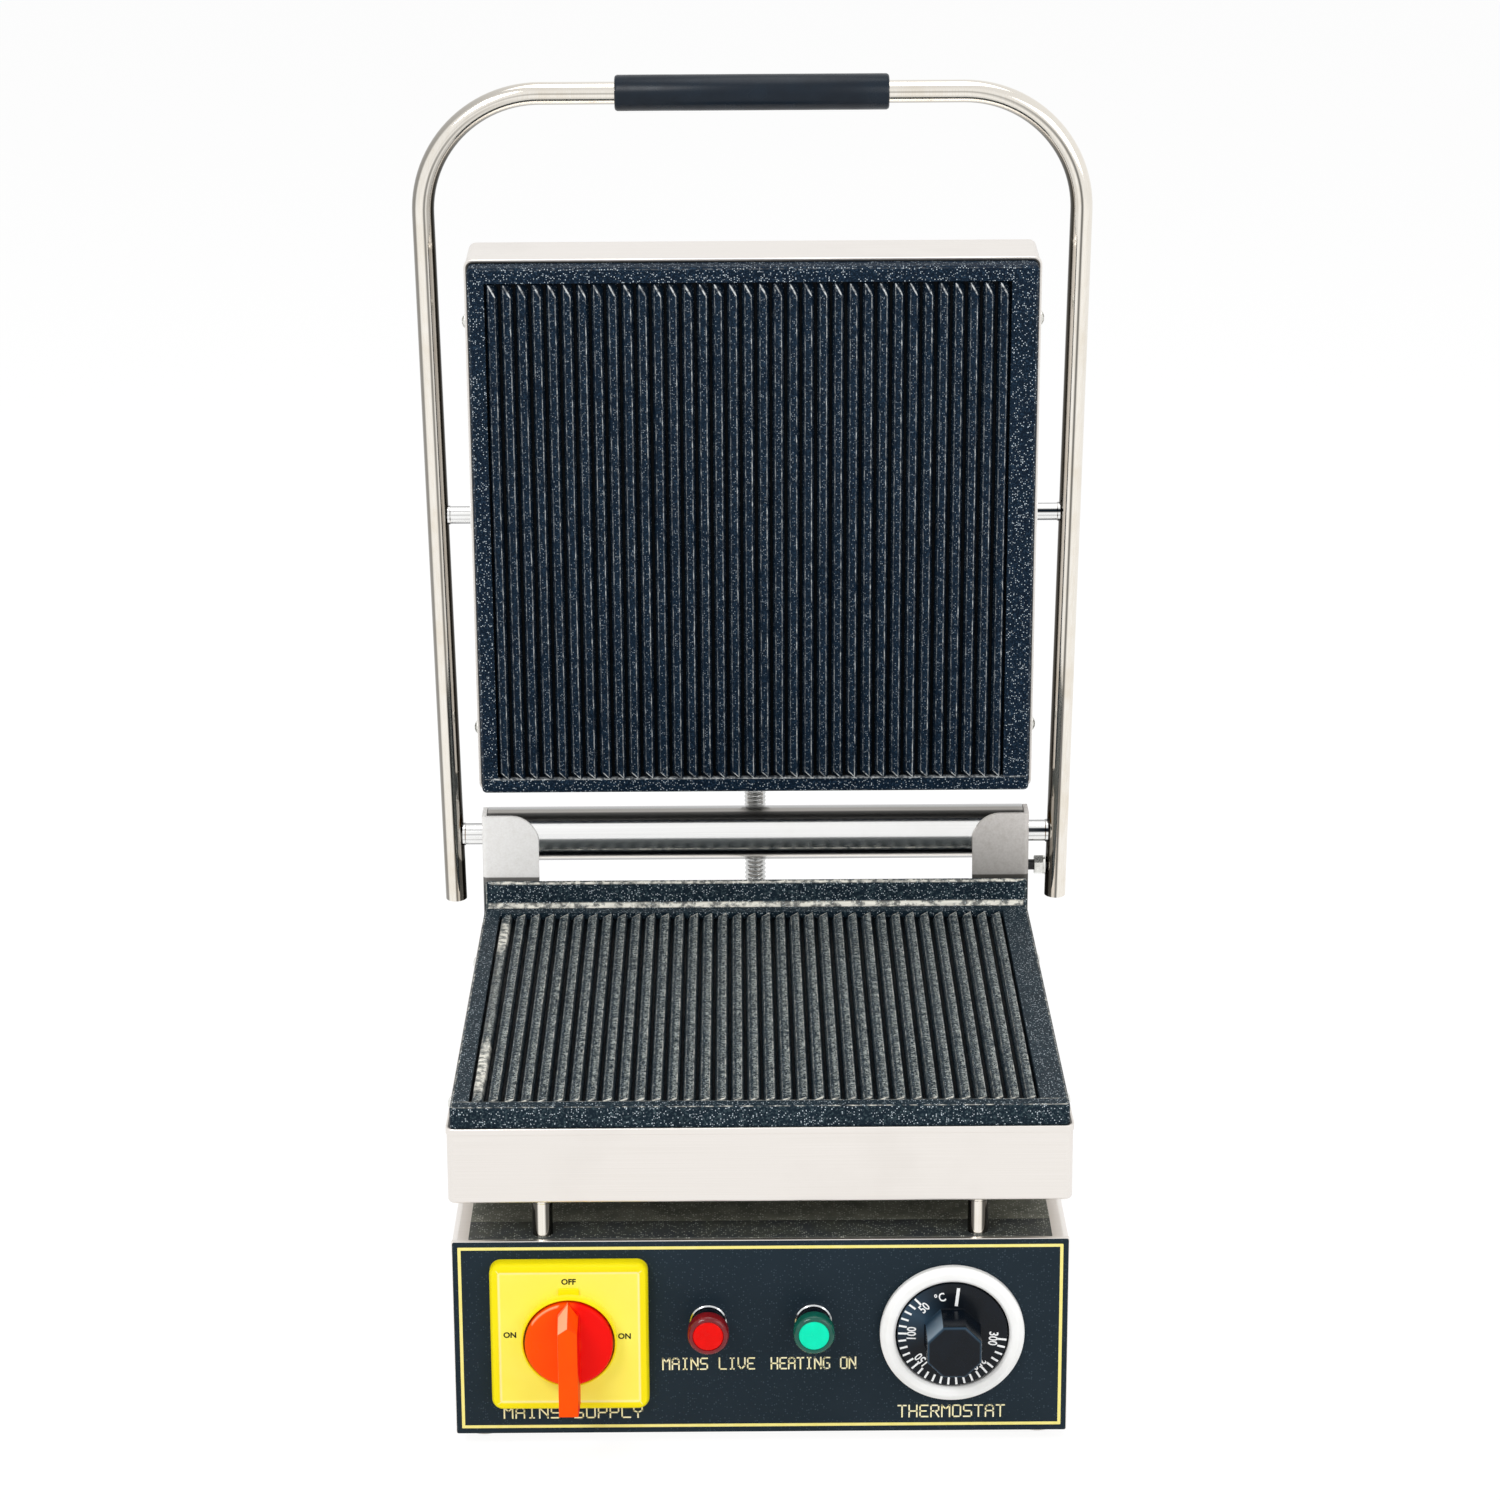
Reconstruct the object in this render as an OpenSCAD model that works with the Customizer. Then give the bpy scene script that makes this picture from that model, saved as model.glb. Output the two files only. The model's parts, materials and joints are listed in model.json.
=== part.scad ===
// Single contact grill (panini press) with ribbed cast plates, a lift-up
// handle frame, a rotary switch, two pilot lamps and a dial thermostat.
// Millimetres. Origin on the ground under the middle of the base, front
// towards -Y, up +Z. The grill is drawn open, at its upper stop.

/* [Cast plates] */
// Width of both cast plates
plate_w = 254; // [244:1:290]
// Length of the lower plate, front to back, with its rear lip
plate_l = 261; // [250:1:300]
// How much shorter the upper plate is, so that it clears the rear lip
upper_short = 10.5; // [9:0.5:16]
// Thickness of the web under the ribs
web_t = 8; // [6:0.5:10]
// Height of the ribs above their grooves
rib_h = 3.5; // [2:0.25:4]
// Distance from one rib to the next
rib_pitch = 6.7; // [5.6:0.1:9]
// Width of a rib's flat crest
rib_crest = 3.2; // [2:0.1:3.6]
// Width of a rib at its foot
rib_foot = 5.4; // [4.4:0.1:5.4]
// Length of the sloped end of a rib
rib_hip = 5.5; // [3:0.5:8]
// Plain border left of the ribs
border_left = 7.5; // [5:0.5:12]
// Plain border right of the ribs
border_right = 12; // [8:0.5:16]
// Plain border at each free end of the ribs
border_end = 7; // [5:0.5:12]
// Flat ledge between the ribs and the rear lip
lip_ledge = 10; // [6:0.5:16]
// Thickness of the rear lip
lip_t = 4.5; // [3:0.5:8]
// Height of the rear lip above the ribs
lip_h = 11.5; // [6:0.5:14]
// Width of the skirt under the plate's edge
skirt_w = 9; // [8:0.5:12]
// Height of the skirt under the web
skirt_h = 7; // [6:0.25:7.25]

/* [Plate housings] */
// Thickness of the stainless sheet
sheet_t = 1.2; // [0.8:0.1:1.5]
// Gap between a plate's edge and its housing
plate_fit = 0.2; // [0.1:0.05:0.4]
// Outer corner radius of the housings
housing_r = 3.5; // [2:0.5:5]
// Height of the lower housing
lower_depth = 33; // [31:0.5:44]
// Depth of the upper housing
upper_depth = 34; // [34:0.5:44]
// Edge of the cast plate that stands out of its housing
plate_show = 8.75; // [7:0.25:10]
// Height of the folded hem along a housing's rim
hem_h = 2.6; // [2:0.2:4]
// How far the hem stands out
hem_t = 0.4; // [0.2:0.1:0.8]
// Spacing of the lower plate's side screws
lower_screw_span = 176; // [140:1:196]
// Spacing of the upper plate's side screws
upper_screw_span = 195; // [150:1:205]

/* [Base] */
// How far the base sides stand in from the housing's
base_inset = 0.9; // [0:0.1:4]
// Height of the base cabinet
base_h = 87; // [82:1:110]
// Base behind the hinge axis
base_rear = 28; // [28:1:60]
// Bend radius along the base's top edges
base_bend_r = 2.5; // [1.5:0.5:4]
// Thickness of the front panel
panel_t = 1.5; // [1:0.1:3]
// Air gap between base and lower housing
air_gap = 16.5; // [12:0.5:24]
// Thickness of the dark heat shield on the base
shield_t = 1; // [0.6:0.1:2]
// Bare strip of base each side of the heat shield
shield_side = 7; // [4:0.5:12]
// Bare strip of base in front of the heat shield
shield_front = 18; // [15:0.5:30]
// Foot height
foot_h = 6; // [4:0.5:20]
// Foot diameter
foot_d = 18; // [14:1:24]
// Foot centre, in from the side of the base
foot_in_x = 11; // [10:0.5:30]
// Foot centre, in from the front and the back
foot_in_y = 20; // [14:0.5:40]

/* [Support posts] */
// Post diameter
post_d = 8.5; // [7:0.5:12]
// Distance between left and right posts
post_span = 180; // [150:1:190]
// Post centre, in from the end of the lower housing
post_in = 7.5; // [7:0.5:9]
// Diameter of the collar under the housing
post_collar_d = 11; // [10:0.5:14]

/* [Hinge] */
// Hinge axis behind the lower housing
hinge_back = 16.2; // [16:0.2:22]
// Hinge axis above the crest of the lower ribs
hinge_rise = 29; // [28:0.5:32]
// Diameter of the hinge tube
tube_d = 25.4; // [23:0.2:26]
// Wall of the hinge tube
tube_wall = 1.5; // [1:0.1:2]
// Diameter of the hinge shaft
shaft_d = 10; // [9:0.5:11]
// Thickness of the bracket sheet
bracket_t = 2; // [1.5:0.1:2]
// Width of the bracket's front flange
flange_w = 26.4; // [20:0.2:32]
// Height of the bracket's front flange
flange_h = 31.6; // [26:0.2:31.6]
// Flange top above the hinge axis
flange_rise = 13.1; // [12:0.1:15]
// Radius of the flange's inner top corner
flange_r = 13; // [6:0.5:15]
// Length of the bracket behind the hinge axis
bracket_rear = 24; // [23.5:0.5:26]

/* [Handle] */
// Diameter of the handle bar
bar_d = 10; // [9:0.5:11]
// Gap between a bracket and the handle arm
arm_gap = 9.4; // [8.8:0.1:13]
// Angle by which the arms spread outwards
splay = 1; // [0:0.1:2]
// Forward lean of the open arms
arm_lean = 2.5; // [1:0.5:3]
// Handle reach past the upper plate's free end
handle_reach = 71; // [68:1:110]
// Centre-line radius of the handle's bends
bend_r = 53; // [40:1:54]
// Length of the arm tails below the hinge
tail_l = 32.5; // [26:0.5:34]
// Diameter of the grip
grip_d = 16; // [15:0.5:24]
// Length of the grip
grip_l = 122; // [100:1:150]
// Travel of the handle from open to closed
handle_travel = 85; // [80:1:85]
// Stop bolt below the hinge axis
stop_drop = 17.2; // [17:0.1:18]
// Diameter of the stop bolt
stop_d = 5; // [4:0.5:5]

/* [Upper plate pivot] */
// Distance from the hinge axis to the upper plate's near end
end_gap = 28.2; // [28:0.1:32]
// Pivot beyond the middle of the upper plate
pivot_off = 2.4; // [0:0.1:4]
// Pivot behind the crest of the upper ribs
pivot_depth = 26; // [26:0.1:27]
// Diameter of the pivot pins
pivot_d = 8; // [7:0.5:8]
// Tilt of the open plate against the arms
rest_tilt = 2.5; // [2:0.1:3]

/* [Rotary switch] */
// Switch centre, left of the middle
switch_x = 79.2; // [76:0.1:81]
// Height of the switch centre above the base's underside
switch_up = 46.3; // [42:0.1:48]
// Side of the square switch plate
switch_plate_w = 65.4; // [56:0.2:68]
// Thickness of the switch plate
switch_plate_t = 6.4; // [4:0.2:8]
// Height of the collar round the knob above the switch plate
switch_collar_h = 5; // [1:0.5:5.5]
// Diameter of the switch knob's disc
knob_disc_d = 36.4; // [30:0.2:40]
// Thickness of the switch knob's disc
knob_disc_t = 7; // [6.5:0.5:12]
// Width of the knob's bar
knob_bar_w = 9; // [7:0.5:12]
// Height of the knob's bar above the disc
knob_bar_h = 13; // [8:0.5:16]
// Bar length above the knob's centre
knob_tip_l = 19; // [16:0.5:24]
// Bar length below the knob's centre
knob_tail_l = 26.5; // [20:0.5:29]

/* [Pilot lamps] */
// Distance between the two lamps
lamp_span = 43.6; // [30:0.2:46]
// Height of the lamps above the base's underside
lamp_up = 50.6; // [30:0.2:60]
// Diameter of the collar on the panel
lamp_collar_d = 15.4; // [14.6:0.2:20]
// Diameter of a lamp's neck
lamp_neck_d = 13.5; // [12.5:0.5:14.5]
// Length of a lamp's neck
lamp_neck_l = 7.5; // [2:0.5:12]
// Diameter of a lamp's cap
lamp_cap_d = 17; // [15:0.5:22]
// Length of a lamp's cap
lamp_cap_l = 6; // [4:0.5:16]
// Diameter of a lamp's clear lens
lamp_lens_d = 12.5; // [8:0.5:13]
// Diameter of a lamp's threaded stem
lamp_stem_d = 12; // [8:0.5:12]

/* [Thermostat] */
// Dial centre, right of the middle
dial_x = 79.3; // [72:0.1:84]
// Height of the dial centre above the base's underside
dial_up = 45.5; // [36:0.1:50]
// Outer diameter of the dial's ring
ring_d = 60; // [54:1:64]
// Thickness of the dial's ring
ring_t = 5; // [4:0.5:8]
// Diameter of the numbered skirt
dial_skirt_d = 46; // [40:0.5:48]
// Thickness of the numbered skirt
dial_skirt_t = 3.4; // [2.4:0.2:6]
// Width of the eight-sided grip, flat to flat
dial_grip_w = 22.5; // [18:0.5:28]
// Height of the eight-sided grip
dial_grip_h = 18; // [10:0.5:20]
// Diameter of the knob shafts
knob_shaft_d = 6; // [5:0.5:6]

/* [Conduit] */
// Diameter of the wiring conduit
conduit_d = 10; // [8:0.5:10]
// Conduit behind the hinge axis
conduit_back = 20; // [20:0.5:21]

/* [Hidden] */
$fn = 64;

// Fits
run_gap = 0.05;               // radial running clearance of shafts and pins
loose_gap = 0.3;              // radial clearance of screws in sheet holes
seat_gap = 0.1;               // clearance of parts that sit against each other
weld_gap = 0.02;              // gap where two lengths of the bar meet
cut = 1;                      // overrun of cutting solids
root = 0.5;                   // how far a rib or fillet is sunk into its plate

// Plates and housings
upper_l = plate_l - upper_short;
crest_t = web_t + rib_h;                       // crest to underside of web
housing_w = plate_w + 2 * (plate_fit + sheet_t);
housing_l = plate_l + 2 * (plate_fit + sheet_t);
plate_r = housing_r - sheet_t - plate_fit;
rib_span = plate_w - border_left - border_right;
rib_count = floor(rib_span / rib_pitch);
lip_fillet = 3;

// Base
base_w = housing_w - 2 * base_inset;
base_d = housing_l + hinge_back + base_rear;
front_y = -base_d / 2;
rear_y = base_d / 2;
base_top = foot_h + base_h;
housing_z = base_top + air_gap;                // underside of lower housing
crest_z = housing_z + lower_depth + plate_show;
housing_mid_y = front_y + housing_l / 2;
plate_y = front_y + sheet_t + plate_fit;       // front edge of lower plate
foot_taper = 2;
foot_recess_d = 9;
post_collar_t = 1.3;
vent_count = 8;                                // slots in the back
vent_x = 20;
vent_w = 4;
vent_pitch = 10;
vent_h = base_h * 0.35;

// Hinge
hinge_y = front_y + housing_l + hinge_back;
hinge_z = crest_z + hinge_rise;
bracket_x = housing_w / 2 - 0.4;               // outer face of a bracket
bracket_y = front_y + housing_l + 0.5;         // front face of a bracket
bracket_top = hinge_z + flange_rise;
bracket_corner = 4;                            // radius of the rear top corner
bracket_shoulder = 5;                          // that corner above the axis
bracket_foot_w = 18;
bracket_foot_in = 4;                           // foot behind the flange
bracket_screw_front = 6;                       // screws in front of the axis
bracket_screw_rear = 14;                       // and behind it
slot_play = 1.4;
tube_l = 2 * (bracket_x - bracket_t);
bush_d = shaft_d + 4;
bush_flange_d = shaft_d + 8;
bush_flange_t = 1.5;
spring_wire = 2;
spring_r = shaft_d / 2 + 0.5 + spring_wire / 2;
spring_turns = 12;
spring_steps = 12;                             // rings of the wire in a turn
spring_sides = 6;                              // sides of the wire
spring_pitch = 2.6;
spring_out = 6;                                // spring end, in from the bush

// Handle
arm_x = bracket_x + arm_gap + bar_d / 2;       // arm centre at the hinge
pivot_dist = (end_gap + upper_l / 2 + pivot_off) / cos(rest_tilt);
handle_l = pivot_dist + upper_l / 2 - pivot_off + handle_reach;
bend_start = handle_l - bend_r * (1 + sin(splay));
bend_x = arm_x + bend_start * tan(splay) - bend_r * cos(splay);
pivot_x = arm_x + pivot_dist * tan(splay);     // arm centre at the pivot
stop_x = arm_x - stop_drop * tan(splay);       // arm centre at the stop bolt
stop_head = 3;                                 // stop bolt inside its bracket
stop_nut_t = 4;
stop_washer_t = 1;
stop_washer_d = 9;
grip_chamfer = 1.2;

// Upper plate, in its own frame: origin on the pivot, Z along the plate
upper_near = -(upper_l / 2 + pivot_off);
housing_back = plate_show + upper_depth;       // crest to back of housing
pin_in = 12;                                   // pivot pin inside the housing
pin_head_t = 2;
bush_in = 8;                                   // pivot bush inside the housing
bush_rim_t = 1.5;
bush_nut_t = 2;
cover_w = 150;
cover_l = 70;
cover_in = 16;                                 // cover from the housing's near end
cover_r = 6;
cover_screw_in = 8;

// Conduit and its glands
gland_out = 8;
gland_in = 5;                                  // gland thread inside the sheet
gland_nut_d = conduit_d + 1.5;
gland_nut_t = 3;
gland_hex_t = 3.5;
gland_depth = housing_back - sheet_t - gland_nut_d / 2 - loose_gap;
conduit_rise = 25;                             // pull of the curve's lower end
conduit_lead = 8;                              // pull of its upper end
conduit_straight = 20;                         // straight part ends below the axis
conduit_sides = 12;

// Fasteners
screw_d = 4;
head_d = 6.2;
head_h = 2.2;
side_screw_l = 8;
side_screw_drop = plate_show + hem_h + head_d / 2 + seat_gap;   // crest to side screws
wide_head_d = 7.5;
flat_head_d = 7;
flat_head_h = 2;
stud_d = 5;
stud_over = 1;                                 // stud past its nut
nut_w = 8;
nut_h = 4;
tap_depth = 5;                                 // tapped hole in a plate's boss

// Heating elements
element_d = 6.5;
element_pitch = 40;
element_leg = upper_l - 2 * skirt_w - element_pitch - element_d - 6;
terminal_d = 3.5;
terminal_l = 10;
clamp_t = 1.5;
clamp_side = 10;
clamp_end = 8;
clamp_window_w = 120;
clamp_window_l = 80;
clamp_drop = crest_t + element_d + 2 * seat_gap;
boss_d = 12;
boss_x = plate_w / 2 - skirt_w - 18;
pad_drop = clamp_drop + clamp_t + flat_head_h + loose_gap;
pad_w = 2 * boss_x + boss_d + 8;
pad_in = skirt_w + 5;
bulb_d = 6.4;
bulb_l = 70;
bulb_in = 26.5;                                // bulb from the plate's skirt

// Switch
switch_bevel = 1.6;
switch_plate_r = 4.7;
switch_relief = 0.8;                           // tab above the plate
switch_ring_in = knob_disc_d + 1.4;
switch_ring_w = 0.9;
switch_tab_w = 8.6;
switch_tab_l = 3.4;
switch_flange_w = 48;
switch_flange_t = 8;
switch_box_w = 40;
switch_box_l = 36;
knob_gap = 0.4;                                // knob off the switch plate
knob_socket = 6;                               // shaft inside the knob
knob_tip_slope = 8;
knob_under = switch_collar_h + 0.6;             // underside of the pointer, off the collar
knob_chamfer = 1.5;
shaft_past = 11;                               // knob shafts behind the panel

// Lamps and dial
collar_t = 2;
lamp_stem_l = 26;
lamp_nut_t = 3.5;
lamp_dome = 1.6;                               // lens sphere, in lens radii
dial_play = 0.6;
dial_gap = 0.6;                                // dial off the panel
dial_bevel = 0.8;
dial_grip_bevel = 1.2;
dial_socket = 10;
thermostat_flange = [32, 2, 40];
thermostat_box = [38, 30, 34];

// Rear inlet
inlet_x = -80;
inlet_up = 26;
inlet_thread_d = 16;
inlet_bore_d = 8.4;
inlet_hex_w = 22;
inlet_hex_t = 5;
inlet_nut_t = 4;
inlet_thread_l = 12;
inlet_nose_l = 18;
terminal_size = [60, 18, 20];
terminal_from_rear = 80;
terminal_ways = 6;
terminal_pitch = 10;
terminal_bore = 4;

// Rounded rectangle, centred
module rounded_rect(w, l, r) {
    square([w - 2 * r, l], center = true);
    square([w, l - 2 * r], center = true);
    for (sx = [-1, 1], sy = [-1, 1])
        translate([sx * (w / 2 - r), sy * (l / 2 - r)]) circle(r);
}

// Block with rounded upright edges, centred in X and Y, standing on z = 0
module rounded_block(w, l, h, r) {
    linear_extrude(h) rounded_rect(w, l, r);
}

// Cylinder along +X from the given point
module x_rod(d, l) {
    rotate([0, 90, 0]) cylinder(d = d, h = l);
}

// Cylinder along +Y from the given point
module y_rod(d, l) {
    rotate([-90, 0, 0]) cylinder(d = d, h = l);
}

// Pan-head screw: head up on z = 0, shank down
module pan_screw(l, d = screw_d, hd = head_d, hh = head_h) {
    dome_r = 0.75 * hd;
    recess = [0.55 * hd, 0.8, 1.6];
    translate([0, 0, -l]) cylinder(d = d, h = l);
    difference() {
        intersection() {
            cylinder(d = hd, h = hh);
            translate([0, 0, hh - dome_r]) sphere(r = dome_r);
        }
        for (a = [0, 90])
            rotate([0, 0, a]) translate([0, 0, hh]) cube(recess, center = true);
    }
}

// Hexagon nut standing on z = 0, with a bore
module hex_nut(w, h, bore) {
    difference() {
        cylinder(d = w / cos(30), h = h, $fn = 6);
        translate([0, 0, -cut]) cylinder(d = bore, h = h + 2 * cut);
    }
}

// Frames: the hinge axis, the handle arms and the upper plate
module hinge_frame() {
    translate([0, hinge_y, hinge_z]) children();
}

module handle_frame() {
    hinge_frame() rotate([arm_lean, 0, 0]) children();
}

module upper_frame() {
    handle_frame() translate([0, 0, pivot_dist]) rotate([rest_tilt, 0, 0]) children();
}

// Plate frames: crest of the ribs on z = 0, edge of the plate on y = 0
module lower_plate_frame() {
    translate([0, plate_y, crest_z]) children();
}

module upper_plate_frame() {
    upper_frame() translate([0, -pivot_depth, upper_near]) rotate([90, 0, 0]) children();
}

// One rib along Y with sloped ends, foot on z = 0
module rib(l) {
    side = [[-rib_foot / 2, -root], [rib_foot / 2, -root], [rib_foot / 2, 0],
            [rib_crest / 2, rib_h], [-rib_crest / 2, rib_h], [-rib_foot / 2, 0]];
    ends = [[0, -root], [l, -root], [l, 0], [l - rib_hip, rib_h], [rib_hip, rib_h], [0, 0]];
    intersection() {
        translate([0, l, 0]) rotate([90, 0, 0]) linear_extrude(l) polygon(side);
        translate([-rib_foot / 2, 0, 0]) rotate([90, 0, 90]) linear_extrude(rib_foot) polygon(ends);
    }
}

// Ribbed cast plate: far is the plain border at the far end of the ribs
module cast_plate(l, far, screw_span) {
    field_l = l - border_end - far;
    field_w = rib_count * rib_pitch;
    field_x = -plate_w / 2 + border_left;
    difference() {
        translate([0, l / 2, -crest_t - skirt_h]) rounded_block(plate_w, l, crest_t + skirt_h, plate_r);
        translate([field_x, border_end, -rib_h]) cube([field_w, field_l, rib_h + cut]);
        translate([-plate_w / 2 + skirt_w, skirt_w, -crest_t - skirt_h - cut])
            cube([plate_w - 2 * skirt_w, l - 2 * skirt_w, skirt_h + cut]);
        for (sx = [-1, 1], sy = [-1, 1])
            translate([sx * (plate_w / 2 + cut), l / 2 + sy * screw_span / 2, -side_screw_drop])
                rotate([0, -sx * 90, 0]) cylinder(d = screw_d + 2 * seat_gap, h = side_screw_l + cut);
    }
    for (i = [0 : rib_count - 1])
        translate([field_x + (i + 0.5) * rib_pitch, border_end, -rib_h]) rib(field_l);
    for (sx = [-1, 1], sy = [-1, 1])
        translate([sx * boss_x, l / 2 + sy * element_leg / 2, -clamp_drop])
            difference() {
                cylinder(d = boss_d, h = clamp_drop - crest_t + seat_gap);
                translate([0, 0, -cut]) cylinder(d = screw_d + 2 * seat_gap, h = tap_depth + cut);
            }
}

// Stainless tray that holds a cast plate of length l
module tray(l, depth, screw_span) {
    out_l = l + 2 * (plate_fit + sheet_t);
    difference() {
        union() {
            translate([0, l / 2, -plate_show - depth])
                rounded_block(housing_w, out_l, depth, housing_r);
            translate([0, l / 2, -plate_show - hem_h])
                rounded_block(housing_w + 2 * hem_t, out_l + 2 * hem_t, hem_h, housing_r + hem_t);
        }
        translate([0, l / 2, -plate_show - depth + sheet_t])
            rounded_block(plate_w + 2 * plate_fit, l + 2 * plate_fit, depth, housing_r - sheet_t);
        for (sx = [-1, 1], sy = [-1, 1])
            translate([sx * (housing_w / 2 - 2 * sheet_t), l / 2 + sy * screw_span / 2, -side_screw_drop])
                rotate([0, sx * 90, 0]) cylinder(d = screw_d + 2 * loose_gap, h = 4 * sheet_t);
    }
}

// Four screws through a tray's sides into its plate
module side_screws(l, span) {
    for (sx = [-1, 1], sy = [-1, 1])
        translate([sx * housing_w / 2, l / 2 + sy * span / 2, -side_screw_drop])
            rotate([0, sx * 90, 0]) pan_screw(side_screw_l + sheet_t);
}

// Tubular element in four legs under the web
module element(l) {
    z = -crest_t - seat_gap - element_d / 2;
    translate([0, l / 2, z]) {
        for (i = [-1.5 : 1 : 1.5])
            translate([i * element_pitch, -element_leg / 2, 0]) y_rod(element_d, element_leg);
        for (i = [-1, 1])
            translate([i * element_pitch, element_leg / 2, 0]) half_turn();
        translate([0, -element_leg / 2, 0]) mirror([0, 1, 0]) half_turn();
        for (i = [-1.5, 1.5])
            translate([i * element_pitch, -element_leg / 2 - terminal_l + cut, 0])
                y_rod(terminal_d, terminal_l);
    }
}

// Half turn of the element, open towards -Y
module half_turn() {
    rotate_extrude(angle = 180) translate([element_pitch / 2, 0]) circle(d = element_d);
}

// Sheet that holds the element against the web
module element_clamp(l) {
    difference() {
        translate([-boss_x - clamp_side, l / 2 - element_leg / 2 - clamp_end, -clamp_drop - clamp_t])
            cube([2 * (boss_x + clamp_side), element_leg + 2 * clamp_end, clamp_t]);
        for (sx = [-1, 1], sy = [-1, 1])
            translate([sx * boss_x, l / 2 + sy * element_leg / 2, -clamp_drop - clamp_t - cut])
                cylinder(d = screw_d + 2 * loose_gap, h = clamp_t + 2 * cut);
        translate([-clamp_window_w / 2, (l - clamp_window_l) / 2, -clamp_drop - clamp_t - cut])
            cube([clamp_window_w, clamp_window_l, clamp_t + 2 * cut]);
    }
}

module clamp_screws(l) {
    for (sx = [-1, 1], sy = [-1, 1])
        translate([sx * boss_x, l / 2 + sy * element_leg / 2, -clamp_drop - clamp_t])
            mirror([0, 0, 1]) pan_screw(clamp_t + tap_depth - cut, screw_d, flat_head_d, flat_head_h);
}

// Mineral wool block behind the element
module insulation(l, depth) {
    h = plate_show + depth - sheet_t - seat_gap - pad_drop;
    translate([-pad_w / 2, pad_in, -pad_drop - h]) cube([pad_w, l - 2 * pad_in, h]);
}

// Places of the four support posts
module each_post() {
    for (sx = [-1, 1], sy = [-1, 1])
        translate([sx * post_span / 2, housing_mid_y + sy * (housing_l / 2 - post_in), 0]) children();
}

// Places of the four feet
module each_foot() {
    for (sx = [-1, 1], sy = [-1, 1])
        translate([sx * (base_w / 2 - foot_in_x), sy * (base_d / 2 - foot_in_y), 0]) children();
}

// Base cabinet sheet: top, sides and back in one, open at the front and below
module base_shell() {
    inner_w = base_w - 2 * sheet_t;
    color("gainsboro") difference() {
        translate([0, rear_y, foot_h]) rotate([90, 0, 0]) linear_extrude(base_d - panel_t) {
            translate([-base_w / 2, 0]) square([base_w, base_h - base_bend_r]);
            translate([-base_w / 2 + base_bend_r, 0]) square([base_w - 2 * base_bend_r, base_h]);
            for (s = [-1, 1])
                translate([s * (base_w / 2 - base_bend_r), base_h - base_bend_r]) circle(base_bend_r);
        }
        translate([-inner_w / 2, front_y - cut, foot_h - cut])
            cube([inner_w, base_d - sheet_t + cut, base_h - sheet_t + cut]);
        translate([0, 0, base_top - 2 * sheet_t]) each_post()
            cylinder(d = stud_d + 2 * seat_gap, h = 4 * sheet_t);
        translate([0, 0, base_top - 2 * sheet_t]) each_bracket_screw()
            cylinder(d = screw_d + 2 * loose_gap, h = 4 * sheet_t);
        translate([0, hinge_y + conduit_back, base_top - 2 * sheet_t])
            cylinder(d = conduit_d + 2 * seat_gap, h = 4 * sheet_t);
        translate([inlet_x, rear_y - 2 * sheet_t, foot_h + inlet_up])
            y_rod(inlet_thread_d + 2 * seat_gap, 4 * sheet_t);
        for (i = [0 : vent_count - 1])
            translate([vent_x + i * vent_pitch, rear_y - 2 * sheet_t, foot_h + vent_h])
                cube([vent_w, 4 * sheet_t, vent_h]);
    }
}

module front_panel() {
    color("#232e3c") difference() {
        translate([-base_w / 2, front_y, foot_h]) cube([base_w, panel_t, base_h]);
        translate([-switch_x, front_y - cut, foot_h + switch_up])
            y_rod(knob_shaft_d + 2, panel_t + 2 * cut);
        for (s = [-1, 1])
            translate([s * lamp_span / 2, front_y - cut, foot_h + lamp_up])
                y_rod(lamp_stem_d + 2 * seat_gap, panel_t + 2 * cut);
        translate([dial_x, front_y - cut, foot_h + dial_up])
            y_rod(knob_shaft_d + 2, panel_t + 2 * cut);
    }
}

// Bottom sheet inside the cabinet's walls
module base_cover() {
    w = base_w - 2 * sheet_t - 2 * seat_gap;
    l = base_d - panel_t - sheet_t - 2 * seat_gap;
    color("silver") difference() {
        translate([-w / 2, front_y + panel_t + seat_gap, foot_h]) cube([w, l, sheet_t]);
        translate([0, 0, foot_h - cut]) each_foot()
            cylinder(d = screw_d + 2 * seat_gap, h = sheet_t + 2 * cut);
    }
}

module heat_shield() {
    w = base_w - 2 * shield_side;
    l = housing_l - shield_front;
    color("dimgray") difference() {
        translate([-w / 2, front_y + shield_front, base_top]) cube([w, l, shield_t]);
        translate([0, 0, base_top - cut]) each_post()
            cylinder(d = post_d + 2 * loose_gap, h = shield_t + 2 * cut);
    }
}

module rubber_feet() {
    color("whitesmoke") each_foot() difference() {
        cylinder(d1 = foot_d - foot_taper, d2 = foot_d, h = foot_h);
        translate([0, 0, -cut]) cylinder(d = foot_recess_d, h = cut + foot_h / 2);
        translate([0, 0, -cut]) cylinder(d = screw_d + 2 * seat_gap, h = foot_h + 2 * cut);
    }
}

module foot_screws() {
    color("silver") each_foot()
        translate([0, 0, foot_h / 2]) mirror([0, 0, 1])
            pan_screw(foot_h / 2 + sheet_t + nut_h + 1, screw_d, wide_head_d, flat_head_h);
}

// Posts with a collar under the housing and a stud at each end
module support_posts() {
    color("lightgray") each_post() {
        translate([0, 0, base_top]) cylinder(d = post_d, h = air_gap);
        translate([0, 0, housing_z - post_collar_t]) cylinder(d = post_collar_d, h = post_collar_t);
        translate([0, 0, base_top - sheet_t - nut_h - stud_over])
            cylinder(d = stud_d, h = air_gap + 2 * (sheet_t + nut_h + stud_over));
    }
}

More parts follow.
